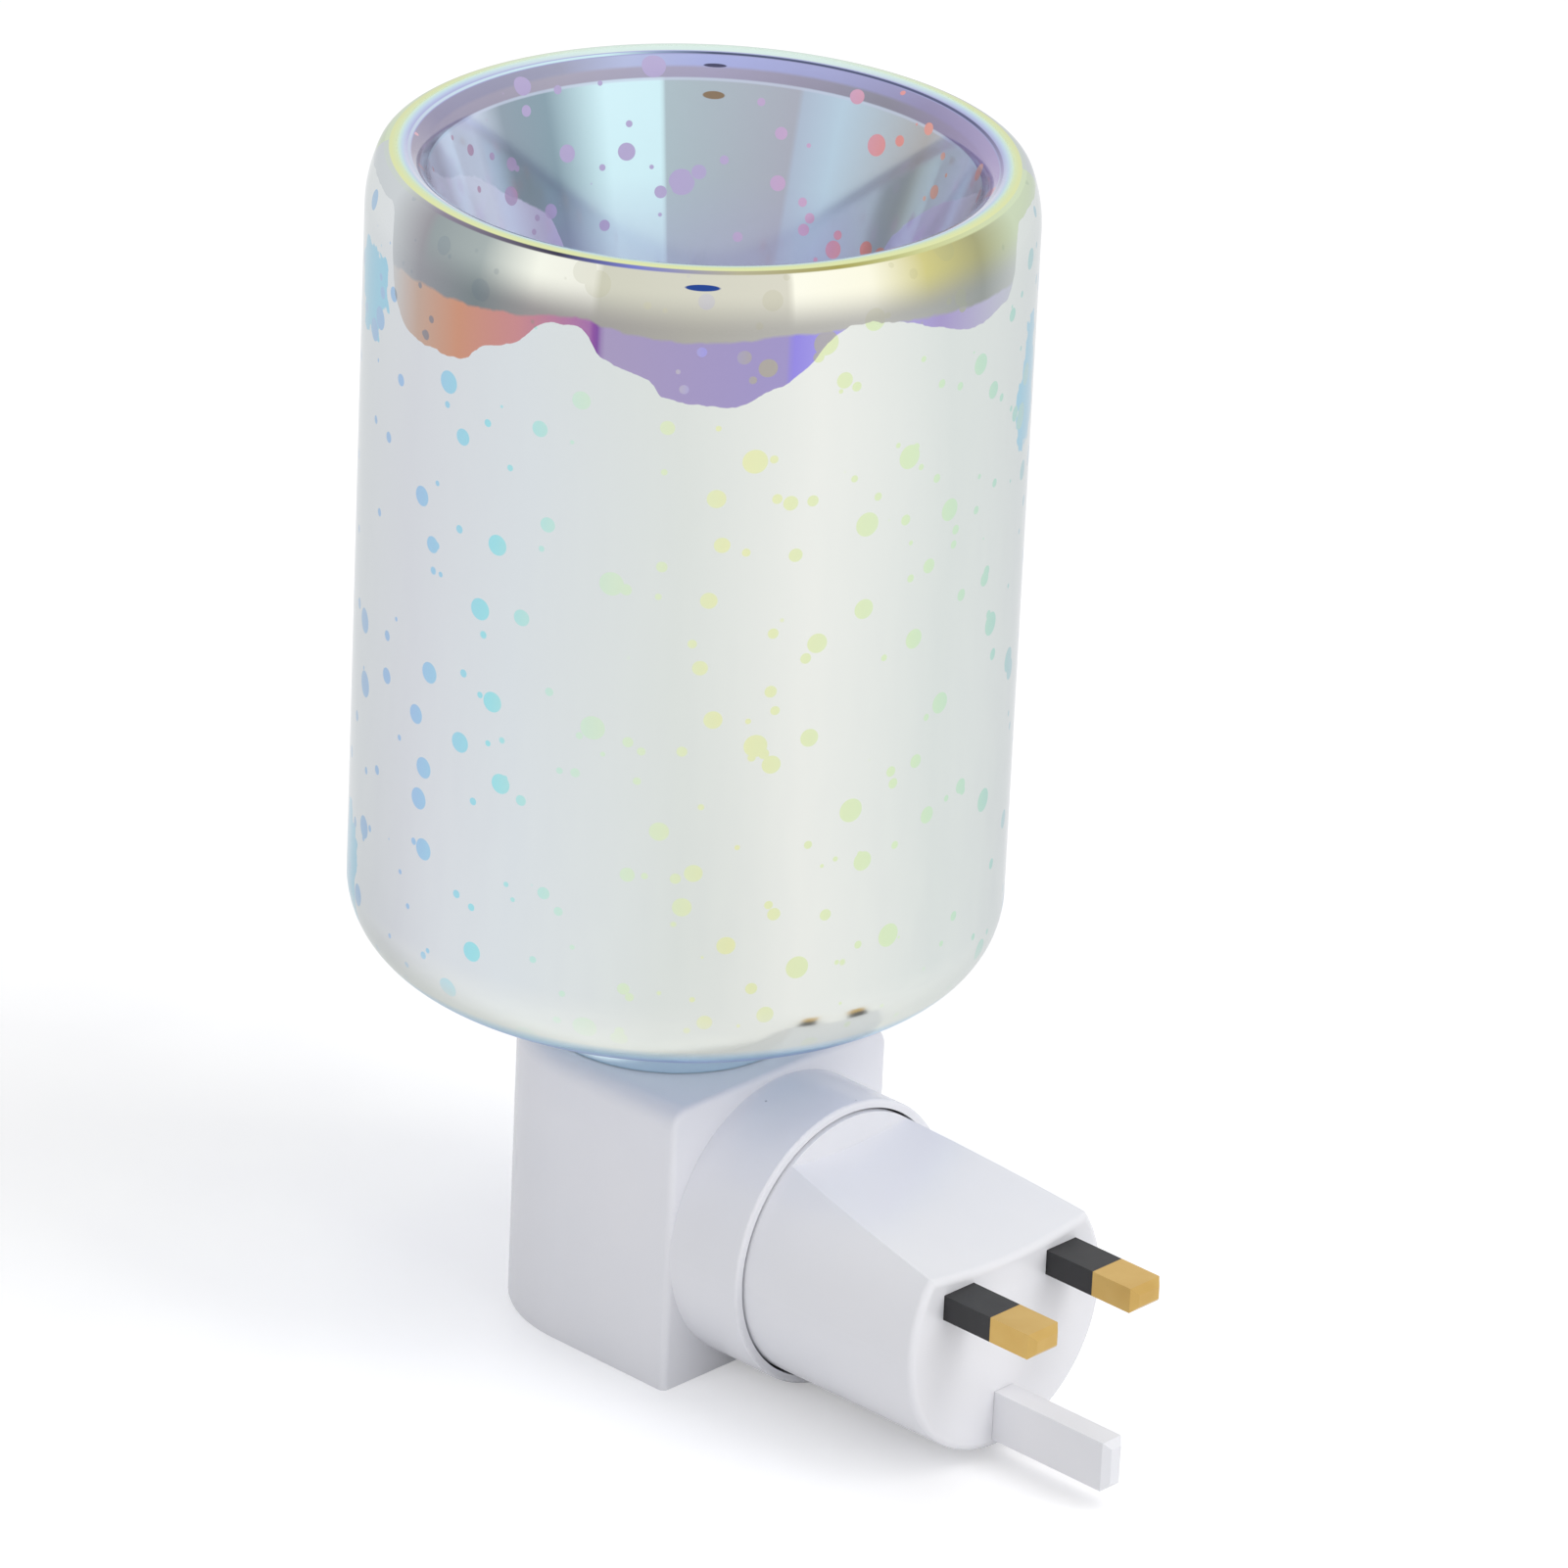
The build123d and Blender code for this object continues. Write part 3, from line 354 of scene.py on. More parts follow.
# coat: soda-lime glass, vacuum plated with a pearl film, so a mirror whose tint drifts round the glass, with
# reflections, highlights and shade painted into its colours.
# Ramps go from 0 at one side of the glass to 1 at the other, and the pattern comes twice in a turn, unless
# a note says otherwise. Depths are millimetres under the crest. Limits go from where a band starts to show
# to where it is full.
coat = {
    "facing": 42.84, "edgeTint": "#e9ebec", "dull": (0.06, 0.13), "heelDull": 0.12,
    "driftCell": 45.0, "drift": 0.035, "waveCell": 30.0, "waveHeight": 0.4, "waveStrength": 0.2,
    # pearl tint with a painted sheen: the film's colour shift as seen from one side, fixed to the glass
    "pearlTintAndSheen": [(0.0, "#e6eae8"), (0.20, "#d9dce1"), (0.34, "#dbe1e4"), (0.50, "#dce1dc"), (0.62, "#e9ebe5"),
             (0.77, "#d9dfdb"), (1.0, "#e6eae8")],
    # thick film left towards the sides: share of the half turn, depth, half width, half height
    "film": "#a2d2e6", "tornCell": 6.0, "patchEdge": (1.02, 0.98),
    "patches": [(0.090, 17.0, 7.5, 6.5), (0.062, 113.0, 5.0, 10.0), (0.936, 29.0, 4.5, 10.0)],
    # dots: cell, least and largest radius in millimetres, where the scatter is cut
    "dotSets": [(7.4, (1.0, 2.1), (0.31, 0.17, 0.05)), (4.9, (0.35, 0.95), (0.09, 0.41, 0.23))],
    "dotEdge": 0.07, "scatter": 0.85,
    "dots": [(0.0, "#a9c6de"), (0.20, "#a6c4e6"), (0.31, "#a2dfe6"), (0.40, "#cfe6d6"), (0.55, "#e6e9b8"),
             (0.72, "#d5e7c2"), (0.88, "#b6dcd2"), (1.0, "#a9c6de")],
    # shoulder: a painted reflection of a dim room and three bright panels, with a painted highlight near the
    # lip, over a stained run of film
    "crown": [(0.13, "#cdd2d5"), (0.20, "#9c9ba1"), (0.212, "#98a2a4"), (0.28, "#a8b2b1"),
              (0.345, "#f6f8ec"), (0.404, "#efefe4"), (0.409, "#d2d2c2"), (0.588, "#dbd9ca"),
              (0.593, "#fffeee"), (0.67, "#fdfbe6"), (0.735, "#d2cc8a"), (0.81, "#a8a87e"),
              (0.885, "#cddabc")],
    "reflectedGloom": [(0.13, "#cdd2d5"), (0.20, "#9a9ba1"), (0.28, "#7d878a"), (0.345, "#9b9898"), (0.50, "#aeaca4"),
              (0.66, "#b9b8b4"), (0.81, "#989d99"), (0.885, "#cdd2d0")],
    "drip": [(0.14, "#cdd3d6"), (0.20, "#c4aa9c"), (0.26, "#cd977e"), (0.33, "#c98f92"), (0.402, "#a878ac"),
             (0.409, "#7d3f9c"), (0.416, "#a99dc0"), (0.586, "#a197c6"), (0.592, "#958ae0"),
             (0.66, "#b3aee6"), (0.75, "#a79bc8"), (0.89, "#cdd3d6")],
    "bandDots": [(0.13, "#8296a8"), (0.30, "#5f6d7e"), (0.41, "#b9b892"), (0.47, "#d6d0a0"),
                 (0.51, "#a6a4ee"), (0.56, "#b4b088"), (0.75, "#b2b48a"), (0.86, "#86a08c")],
    "underLip": [(0.13, "#cdd5cf"), (0.21, "#8f8798"), (0.36, "#3f3c50"), (0.44, "#7a80cc"),
                 (0.54, "#b7b296"), (0.64, "#a9a35c"), (0.74, "#cfd398"), (0.90, "#d5e3c0")],
    "reflectionFade": (2.5, 8.6), "bandDotShare": (0.2, 0.65), "rimDepth": (0.52, 0.4),
    # depths of the run's lower edge and of the edge of its painted reflection, and how soft and ragged they
    # are
    "runLine": [(0.0, 2.5), (0.12, 2.5), (0.15, 10), (0.157, 15.3), (0.215, 19.7), (0.265, 19.4),
                (0.28, 17.2), (0.329, 13.7), (0.366, 9.7), (0.385, 9.4), (0.414, 13.4), (0.462, 16.2),
                (0.476, 18.8), (0.53, 19.6), (0.566, 17.8), (0.61, 13.7), (0.617, 12.0), (0.641, 9.0),
                (0.66, 8.2), (0.69, 8.7), (0.747, 11.4), (0.802, 13.5), (0.857, 12.0), (0.88, 5),
                (0.91, 2.5), (1.0, 2.5)],
    "reflectionLine": [(0.0, 10), (0.25, 10.4), (0.33, 9.3), (0.40, 7.8), (0.412, 8.4), (0.5, 9.7), (0.585, 8.8),
                  (0.66, 8.6), (0.80, 9.8), (1.0, 10)],
    "deepest": 30.0, "runSoft": 0.12, "reflectionSoft": 0.5, "bowlSoft": 0.4, "teethCell": 3.0, "teeth": 0.7,
    # wax bowl: blue steel film with a painted reflection of two pale lights and a dim ceiling, run down from
    # the lip to a ragged line, mauve below it, and painted shade deeper down
    "bowl": [(0.0, "#e0d8ee"), (0.06, "#d2cade"), (0.11, "#d6def2"), (0.20, "#bcbab8"), (0.335, "#c4dcec"),
             (0.387, "#b9c8da"), (0.393, "#b4b8c4"), (0.555, "#b4c6cc"), (0.560, "#dafaff"),
             (0.63, "#dafaff"), (0.71, "#8da5b0"), (0.78, "#96a6b2"), (0.84, "#e2ecfc"),
             (0.92, "#dedaee"), (1.0, "#e0d8ee")],
    "bowlLow": [(0.0, "#e4dcf2"), (0.20, "#c2bade"), (0.74, "#c2bee0"), (0.84, "#e6ecfc"), (1.0, "#e4dcf2")],
    "bowlLine": [(0.0, 4), (0.05, 7), (0.13, 12), (0.2, 19), (0.27, 30), (0.68, 30), (0.74, 20), (0.80, 16),
                 (0.867, 11), (0.944, 8), (1.0, 4)],
    "bowlDots": [(0.0, "#e8b4bc"), (0.12, "#f2bcaa"), (0.25, "#ea9c96"), (0.35, "#d8b2d4"), (0.5, "#bcb2d8"),
                 (0.75, "#b8acd2"), (1.0, "#e8b4bc")],
    "paintedDeepShade": "#b4b4d8", "shadeSink": (17.0, 34.0), "shadeSinkShare": 0.6,
    # painted reflection: the bowl and the lip's inner half paler on the near side
    "nearSideReflection": "#f0f0f8", "nearTurn": (0.27, 0.17), "nearShare": 0.9,
    "rollEdge": "#cfd8ec", "rollEdgeDepth": (3.9, 3.7), "rollEdgeShare": 0.7,
    "bowlMetal": 0.5, "lowMetal": 0.35, "bowlFrom": (100.0, 104.0), "bowlEdge": 0.4,
    # roll between lip and bowl in two bands, once round from the back, and the thread of film above it; the
    # roll's pale near side is a painted reflection
    "roll": [(0.0, "#a9b0e4"), (0.05, "#b4bce0"), (0.09, "#9c9cb4"), (0.20, "#8c86a4"), (0.26, "#a49aae"),
             (0.32, "#ecebf6"), (0.68, "#ecebf6"), (0.74, "#b09ccc"), (0.86, "#958cb4"), (0.93, "#a4a6d4"),
             (1.0, "#a9b0e4")],
    "rollLow": [(0.0, "#a7a0bc"), (0.10, "#a8a2b2"), (0.22, "#958ca6"), (0.31, "#e4e2f2"), (0.69, "#e4e2f2"),
                (0.76, "#a58fc4"), (0.89, "#8e8a98"), (1.0, "#a7a0bc")],
    "rollDepth": (3.5, 3.3), "rollShare": 0.9, "rollLowDepth": (1.7, 2.1),
    "thread": [(0.0, "#4a5470"), (0.03, "#8fa0c0"), (0.06, "#d2f2f8"), (0.25, "#c4cfe6"), (0.68, "#e6ecf4"),
               (0.75, "#a39cc4"), (0.82, "#565a80"), (1.0, "#4a5470")],
    # across the lip, from 2 mm outside its crest to 3 mm inside: yellow green, sea green, pale blue, lavender
    "lipReach": (2.0, -3.0), "lipFrom": (0.20, 0.24), "lipDepth": (0.64, 0.56),
    "lip": [(0.0, "#dfe6b0"), (0.30, "#e2e8ae"), (0.44, "#dceabc"), (0.52, "#cfeae0"), (0.62, "#c2d6ee"),
            (0.74, "#b0b4de"), (0.88, "#a3a4d0")],
    # painted highlight: a pale line along the far lip's outer half
    "farLipHighlight": "#dff2ea", "farTurn": (0.34, 0.44), "farShare": 0.9, "farUpTo": (0.74, 0.70),
    "nearLipFrom": (0.60, 0.70), "threadAt": 0.805, "threadHalf": (0.055, 0.03),
    # underside, by height over the neck's top: the neck, then a lavender rim fading into pale blue, the rim a
    # painted sheen of the film where it turns away
    "heel": [(0.0, "#dcf0fa"), (0.10, "#d8e2f6"), (0.17, "#8f8ce0"), (0.24, "#9cc2f2"), (0.31, "#c2e4f6"),
             (0.44, "#f2f5ea"), (1.0, "#e8eae6")],
    "heelBand": (-1.5, 14.0), "heelFull": 4.0,
    # long flat spots on either side of the lip: side, colour, then placed like the patches of film
    "spots": [("wall", "#2c4a94", (0.506, 2.05, 2.5, 0.42)), ("bowl", "#8f7a62", (0.497, 5.8, 2.0, 0.55)),
              ("bowl", "#4a4a66", (0.497, 1.75, 2.0, 0.22))],
    "spotEdge": (1.1, 0.95),
}


def glassPlaces(tree, c, s):
    # where a point of the glass lies, as sockets: depth, radius and turn, and the film's slow patterns there
    coords = addNode(tree, "ShaderNodeTexCoord").outputs["Object"]
    turn = Matrix.Rotation(radians(-c["facing"]), 3, "Z")
    local = addNode(tree, "ShaderNodeMapping", values={
        "Location": turn @ Vector((0, -s["axisY"] * mm, 0)), "Rotation": (0, 0, radians(-c["facing"]))},
        links={"Vector": coords}).outputs[0]
    split = addNode(tree, "ShaderNodeSeparateXYZ", links={0: local})
    flat = addNode(tree, "ShaderNodeCombineXYZ", links={0: split.outputs[0], 1: split.outputs[1]})
    radius = addNode(tree, "ShaderNodeVectorMath", {"operation": "LENGTH"}, links={0: flat.outputs[0]})
    under = addNode(tree, "ShaderNodeMath", {"operation": "SUBTRACT"}, {0: (s["seat"] + s["height"]) * mm},
                    {1: split.outputs[2]})
    # once round from the back, then from side to side twice in a turn, then away from the front
    around = addNode(tree, "ShaderNodeTexGradient", {"gradient_type": "RADIAL"},
                     links={0: local}).outputs["Fac"]
    half = addNode(tree, "ShaderNodeMath", {"operation": "MULTIPLY_ADD"}, {1: 2.0, 2: 0.5}, {0: around})
    half = addNode(tree, "ShaderNodeMath", {"operation": "FRACT"}, links={0: half.outputs[0]})
    front = addNode(tree, "ShaderNodeMath", {"operation": "SUBTRACT"}, {1: 0.5}, {0: around})
    front = addNode(tree, "ShaderNodeMath", {"operation": "ABSOLUTE"}, links={0: front.outputs[0]})
    near = addNode(tree, "ShaderNodeMapRange", values={
        "From Min": c["nearTurn"][0], "From Max": c["nearTurn"][1], "To Max": c["nearShare"]},
        links={"Value": front.outputs[0]})
    # slow drift of the film's thickness, and the teeth of its ragged edges
    drift = addNode(tree, "ShaderNodeTexNoise", values={"Scale": 1 / (c["driftCell"] * mm), "Detail": 1.5},
                    links={"Vector": coords}).outputs["Fac"]
    nudge = addNode(tree, "ShaderNodeMapRange", values={"To Min": -c["drift"], "To Max": c["drift"]},
                    links={"Value": drift})
    wander = addNode(tree, "ShaderNodeMath", {"operation": "ADD", "use_clamp": True},
                     links={0: half.outputs[0], 1: nudge.outputs[0]})
    teeth = addNode(tree, "ShaderNodeTexNoise", values={"Scale": 1 / (c["teethCell"] * mm), "Detail": 3.0},
                    links={"Vector": coords})
    ragged = addNode(tree, "ShaderNodeMapRange", values={
        "To Min": -c["teeth"] * mm, "To Max": c["teeth"] * mm}, links={"Value": teeth.outputs["Fac"]})
    return {"coords": coords, "radius": radius.outputs["Value"], "height": split.outputs[2],
            "under": under.outputs[0], "around": around, "half": half.outputs[0], "front": front.outputs[0],
            "near": near.outputs[0], "drift": drift, "wander": wander.outputs[0], "ragged": ragged.outputs[0]}


def dotMask(tree, c, g):
    # bare spots: balls scattered through space and cut by the glass, so they vary in size
    mask = None
    for cell, (small, large), start in c["dotSets"]:
        moved = addNode(tree, "ShaderNodeVectorMath", {"operation": "ADD"}, {1: start}, {0: g["coords"]})
        balls = addNode(tree, "ShaderNodeTexVoronoi", values={
            "Scale": 1 / (cell * mm), "Randomness": c["scatter"]}, links={"Vector": moved.outputs[0]})
        chance = addNode(tree, "ShaderNodeSeparateColor", links={0: balls.outputs["Color"]})
        reach = addNode(tree, "ShaderNodeMapRange", values={"To Min": small / cell, "To Max": large / cell},
                        links={"Value": chance.outputs[0]})
        gap = addNode(tree, "ShaderNodeMath", {"operation": "SUBTRACT"},
                      links={0: reach.outputs[0], 1: balls.outputs["Distance"]})
        dot = addNode(tree, "ShaderNodeMapRange", values={"From Max": c["dotEdge"] / cell},
                      links={"Value": gap.outputs[0]})
        if mask:
            dot = addNode(tree, "ShaderNodeMath", {"operation": "MAXIMUM"},
                          links={0: mask, 1: dot.outputs[0]})
        mask = dot.outputs[0]
    return mask


def lineDepth(tree, c, g, points):
    # depth of a line drawn round the glass, with its ragged edge
    share = addNode(tree, "ShaderNodeFloatCurve", links={"Value": g["half"]},
                    curve=[(x, depth / c["deepest"]) for x, depth in points])
    return addNode(tree, "ShaderNodeMath", {"operation": "MULTIPLY_ADD"}, {1: c["deepest"] * mm},
                   {0: share.outputs[0], 2: g["ragged"]}).outputs[0]


def spotSpan(tree, s, g, x, depth, wide, tall):
    # distance from a long spot's middle, 1 at its edge
    dx = addNode(tree, "ShaderNodeMath", {"operation": "SUBTRACT"}, {1: x}, {0: g["half"]})
    dx = addNode(tree, "ShaderNodeMath", {"operation": "MULTIPLY"}, {1: pi * s["radius"] / wide},
                 {0: dx.outputs[0]})
    dz = addNode(tree, "ShaderNodeMath", {"operation": "MULTIPLY_ADD"},
                 {1: 1 / (tall * mm), 2: -depth / tall}, {0: g["under"]})
    off = addNode(tree, "ShaderNodeCombineXYZ", links={0: dx.outputs[0], 1: dz.outputs[0]})
    return addNode(tree, "ShaderNodeVectorMath", {"operation": "LENGTH"},
                   links={0: off.outputs[0]}).outputs["Value"]


def wallColour(tree, c, s, g, dotted):
    # pearl tint with a painted sheen that shifts round the glass, thicker film in torn patches, dots
    pearlTintAndSheen = addNode(tree, "ShaderNodeValToRGB", links={"Fac": g["wander"]}, ramp=c["pearlTintAndSheen"])
    torn = addNode(tree, "ShaderNodeTexNoise", values={"Scale": 1 / (c["tornCell"] * mm), "Detail": 3.0},
                   links={"Vector": g["coords"]})
    torn = addNode(tree, "ShaderNodeMapRange", values={"To Min": -1.0, "To Max": 1.0},
                   links={"Value": torn.outputs["Fac"]})
    filmed = None
    for place in c["patches"]:
        span = addNode(tree, "ShaderNodeMath", {"operation": "ADD"},
                       links={0: spotSpan(tree, s, g, *place), 1: torn.outputs[0]})
        patch = addNode(tree, "ShaderNodeMapRange", values={
            "From Min": c["patchEdge"][0], "From Max": c["patchEdge"][1]}, links={"Value": span.outputs[0]})
        if filmed:
            patch = addNode(tree, "ShaderNodeMath", {"operation": "MAXIMUM"},
                            links={0: filmed, 1: patch.outputs[0]})
        filmed = patch.outputs[0]
    pale = addNode(tree, "ShaderNodeMix", rgba, {7: hexColour(c["film"])},
                   {"Factor": filmed, 6: pearlTintAndSheen.outputs[0]})
    dotTint = addNode(tree, "ShaderNodeValToRGB", links={"Fac": g["wander"]}, ramp=c["dots"])
    return addNode(tree, "ShaderNodeMix", rgba,
                   links={"Factor": dotted, 6: pale.outputs[2], 7: dotTint.outputs[0]}).outputs[2]


def shoulderColour(tree, c, g, dotted, wall):
    # painted reflection: bright panels darkening into a dim room, then the stained run down to its ragged
    # edge on the wall
    crown = addNode(tree, "ShaderNodeValToRGB", links={"Fac": g["half"]}, ramp=c["crown"])
    reflectedGloom = addNode(tree, "ShaderNodeValToRGB", links={"Fac": g["half"]}, ramp=c["reflectedGloom"])
    # the painted reflection fades from the bright panels to the dim room with depth
    reflectionFade = addNode(tree, "ShaderNodeMapRange", {"interpolation_type": "SMOOTHSTEP"},
                   {"From Min": c["reflectionFade"][0] * mm, "From Max": c["reflectionFade"][1] * mm}, {"Value": g["under"]})
    reflectedShoulder = addNode(tree, "ShaderNodeMix", rgba,
                    links={"Factor": reflectionFade.outputs[0], 6: crown.outputs[0], 7: reflectedGloom.outputs[0]})
    stain = addNode(tree, "ShaderNodeValToRGB", links={"Fac": g["half"]}, ramp=c["drip"])
    past = addNode(tree, "ShaderNodeMath", {"operation": "SUBTRACT"},
                   links={0: g["under"], 1: lineDepth(tree, c, g, c["reflectionLine"])})
    stained = addNode(tree, "ShaderNodeMapRange", values={"From Max": c["reflectionSoft"] * mm},
                      links={"Value": past.outputs[0]})
    band = addNode(tree, "ShaderNodeMix", rgba,
                   links={"Factor": stained.outputs[0], 6: reflectedShoulder.outputs[2], 7: stain.outputs[0]})
    spotTint = addNode(tree, "ShaderNodeValToRGB", links={"Fac": g["half"]}, ramp=c["bandDots"])
    strong = addNode(tree, "ShaderNodeMapRange", values={
        "To Min": c["bandDotShare"][0], "To Max": c["bandDotShare"][1]}, links={"Value": stained.outputs[0]})
    spotted = addNode(tree, "ShaderNodeMath", {"operation": "MULTIPLY"},
                      links={0: dotted, 1: strong.outputs[0]})
    band = addNode(tree, "ShaderNodeMix", rgba,
                   links={"Factor": spotted.outputs[0], 6: band.outputs[2], 7: spotTint.outputs[0]})
    above = addNode(tree, "ShaderNodeMath", {"operation": "SUBTRACT"},
                    links={0: lineDepth(tree, c, g, c["runLine"]), 1: g["under"]})
    inRun = addNode(tree, "ShaderNodeMapRange", values={"From Max": c["runSoft"] * mm},
                    links={"Value": above.outputs[0]})
    outside = addNode(tree, "ShaderNodeMix", rgba,
                      links={"Factor": inRun.outputs[0], 6: wall, 7: band.outputs[2]})
    # thin line just under the lip
    rimTint = addNode(tree, "ShaderNodeValToRGB", links={"Fac": g["half"]}, ramp=c["underLip"])
    rim = addNode(tree, "ShaderNodeMapRange", values={
        "From Min": c["rimDepth"][0] * mm, "From Max": c["rimDepth"][1] * mm}, links={"Value": g["under"]})
    return addNode(tree, "ShaderNodeMix", rgba,
                   links={"Factor": rim.outputs[0], 6: outside.outputs[2], 7: rimTint.outputs[0]}).outputs[2]


def heelColour(tree, c, s, g, outside):
    # the neck and the underside's rim with its painted sheen, and how far the heel goes
    neckTop = s["seat"] + s["neckHeight"]
    low, high = c["heelBand"]
    climb = addNode(tree, "ShaderNodeMapRange", values={
        "From Min": (neckTop + low) * mm, "From Max": (neckTop + high) * mm}, links={"Value": g["height"]})
    # the rim's lavender and pale blue are a painted sheen
    tint = addNode(tree, "ShaderNodeValToRGB", links={"Fac": climb.outputs[0]}, ramp=c["heel"])
    heel = addNode(tree, "ShaderNodeMapRange", values={
        "From Min": (neckTop + high) * mm, "From Max": (neckTop + c["heelFull"]) * mm},
        links={"Value": g["height"]})
    colour = addNode(tree, "ShaderNodeMix", rgba,
                     links={"Factor": heel.outputs[0], 6: outside, 7: tint.outputs[0]})
    return colour.outputs[2], heel.outputs[0]


def bowlColour(tree, c, g, dotted):
    # steel blue film with painted reflections of two lights and painted shade deeper down, mauve below, a
    # near side paled by painted reflection, the roll under the lip and dots; and where the mauve is
    steel = addNode(tree, "ShaderNodeValToRGB", links={"Fac": g["half"]}, ramp=c["bowl"])
    # painted shade: the bowl darkens deeper down
    shadeSink = addNode(tree, "ShaderNodeMapRange", values={
        "From Min": c["shadeSink"][0] * mm, "From Max": c["shadeSink"][1] * mm, "To Max": c["shadeSinkShare"]},
        links={"Value": g["under"]})
    steel = addNode(tree, "ShaderNodeMix", rgba, {7: hexColour(c["paintedDeepShade"])},
                    {"Factor": shadeSink.outputs[0], 6: steel.outputs[0]})
    mauve = addNode(tree, "ShaderNodeValToRGB", links={"Fac": g["half"]}, ramp=c["bowlLow"])
    past = addNode(tree, "ShaderNodeMath", {"operation": "SUBTRACT"},
                   links={0: g["under"], 1: lineDepth(tree, c, g, c["bowlLine"])})
    below = addNode(tree, "ShaderNodeMapRange", values={"From Max": c["bowlSoft"] * mm},
                    links={"Value": past.outputs[0]})
    bowl = addNode(tree, "ShaderNodeMix", rgba,
                   links={"Factor": below.outputs[0], 6: steel.outputs[2], 7: mauve.outputs[0]})
    # painted reflection: paler on the near side
    bowl = addNode(tree, "ShaderNodeMix", rgba, {7: hexColour(c["nearSideReflection"])},
                   {"Factor": g["near"], 6: bowl.outputs[2]})
    edge = addNode(tree, "ShaderNodeMapRange", values={
        "From Min": c["rollEdgeDepth"][0] * mm, "From Max": c["rollEdgeDepth"][1] * mm,
        "To Max": c["rollEdgeShare"]}, links={"Value": g["under"]})
    bowl = addNode(tree, "ShaderNodeMix", rgba, {7: hexColour(c["rollEdge"])},
                   {"Factor": edge.outputs[0], 6: bowl.outputs[2]})
    upper = addNode(tree, "ShaderNodeValToRGB", links={"Fac": g["around"]}, ramp=c["roll"])
    lower = addNode(tree, "ShaderNodeValToRGB", links={"Fac": g["around"]}, ramp=c["rollLow"])
    down = addNode(tree, "ShaderNodeMapRange", values={
        "From Min": c["rollLowDepth"][0] * mm, "From Max": c["rollLowDepth"][1] * mm},
        links={"Value": g["under"]})
    roll = addNode(tree, "ShaderNodeMix", rgba,
                   links={"Factor": down.outputs[0], 6: upper.outputs[0], 7: lower.outputs[0]})
    rolled = addNode(tree, "ShaderNodeMapRange", values={
        "From Min": c["rollDepth"][0] * mm, "From Max": c["rollDepth"][1] * mm, "To Max": c["rollShare"]},
        links={"Value": g["under"]})
    bowl = addNode(tree, "ShaderNodeMix", rgba,
                   links={"Factor": rolled.outputs[0], 6: bowl.outputs[2], 7: roll.outputs[2]})
    pinks = addNode(tree, "ShaderNodeValToRGB", links={"Fac": g["half"]}, ramp=c["bowlDots"])
    bowl = addNode(tree, "ShaderNodeMix", rgba,
                   links={"Factor": dotted, 6: bowl.outputs[2], 7: pinks.outputs[0]})
    return bowl.outputs[2], below.outputs[0]


def lipColour(tree, c, s, g):
    # the film across the lip, and how far the lip goes
    crest = rollRadius(s)
    cross = addNode(tree, "ShaderNodeMapRange", values={
        "From Min": (crest + c["lipReach"][0]) * mm, "From Max": (crest + c["lipReach"][1]) * mm},
        links={"Value": g["radius"]}).outputs[0]
    tint = addNode(tree, "ShaderNodeValToRGB", links={"Fac": cross}, ramp=c["lip"])
    # painted highlight along the outer half of the far lip
    farHighlight = addNode(tree, "ShaderNodeMapRange", values={
        "From Min": c["farTurn"][0], "From Max": c["farTurn"][1], "To Max": c["farShare"]},
        links={"Value": g["front"]})
    outerHalf = addNode(tree, "ShaderNodeMapRange", values={
        "From Min": c["farUpTo"][0], "From Max": c["farUpTo"][1]}, links={"Value": cross})
    farHighlight = addNode(tree, "ShaderNodeMath", {"operation": "MULTIPLY"},
                  links={0: farHighlight.outputs[0], 1: outerHalf.outputs[0]})
    tint = addNode(tree, "ShaderNodeMix", rgba, {7: hexColour(c["farLipHighlight"])},
                   {"Factor": farHighlight.outputs[0], 6: tint.outputs[0]})
    # painted reflection: the inner half of the near lip paler
    innerHalf = addNode(tree, "ShaderNodeMapRange", values={
        "From Min": c["nearLipFrom"][0], "From Max": c["nearLipFrom"][1]}, links={"Value": cross})
    innerNear = addNode(tree, "ShaderNodeMath", {"operation": "MULTIPLY"},
                        links={0: g["near"], 1: innerHalf.outputs[0]})
    tint = addNode(tree, "ShaderNodeMix", rgba, {7: hexColour(c["nearSideReflection"])},
                   {"Factor": innerNear.outputs[0], 6: tint.outputs[2]})
    # thread of film inside the lip, about 0.4 mm wide
    threadTint = addNode(tree, "ShaderNodeValToRGB", links={"Fac": g["around"]}, ramp=c["thread"])
    off = addNode(tree, "ShaderNodeMath", {"operation": "SUBTRACT"}, {1: c["threadAt"]}, {0: cross})
    off = addNode(tree, "ShaderNodeMath", {"operation": "ABSOLUTE"}, links={0: off.outputs[0]})
    inThread = addNode(tree, "ShaderNodeMapRange", values={
        "From Min": c["threadHalf"][0], "From Max": c["threadHalf"][1]}, links={"Value": off.outputs[0]})
    tint = addNode(tree, "ShaderNodeMix", rgba,
                   links={"Factor": inThread.outputs[0], 6: tint.outputs[2], 7: threadTint.outputs[0]})
    begun = addNode(tree, "ShaderNodeMapRange", values={
        "From Min": c["lipFrom"][0], "From Max": c["lipFrom"][1]}, links={"Value": cross})
    crestOnly = addNode(tree, "ShaderNodeMapRange", values={
        "From Min": c["lipDepth"][0] * mm, "From Max": c["lipDepth"][1] * mm}, links={"Value": g["under"]})
    lip = addNode(tree, "ShaderNodeMath", {"operation": "MULTIPLY"},
                  links={0: begun.outputs[0], 1: crestOnly.outputs[0]})
    return tint.outputs[2], lip.outputs[0]


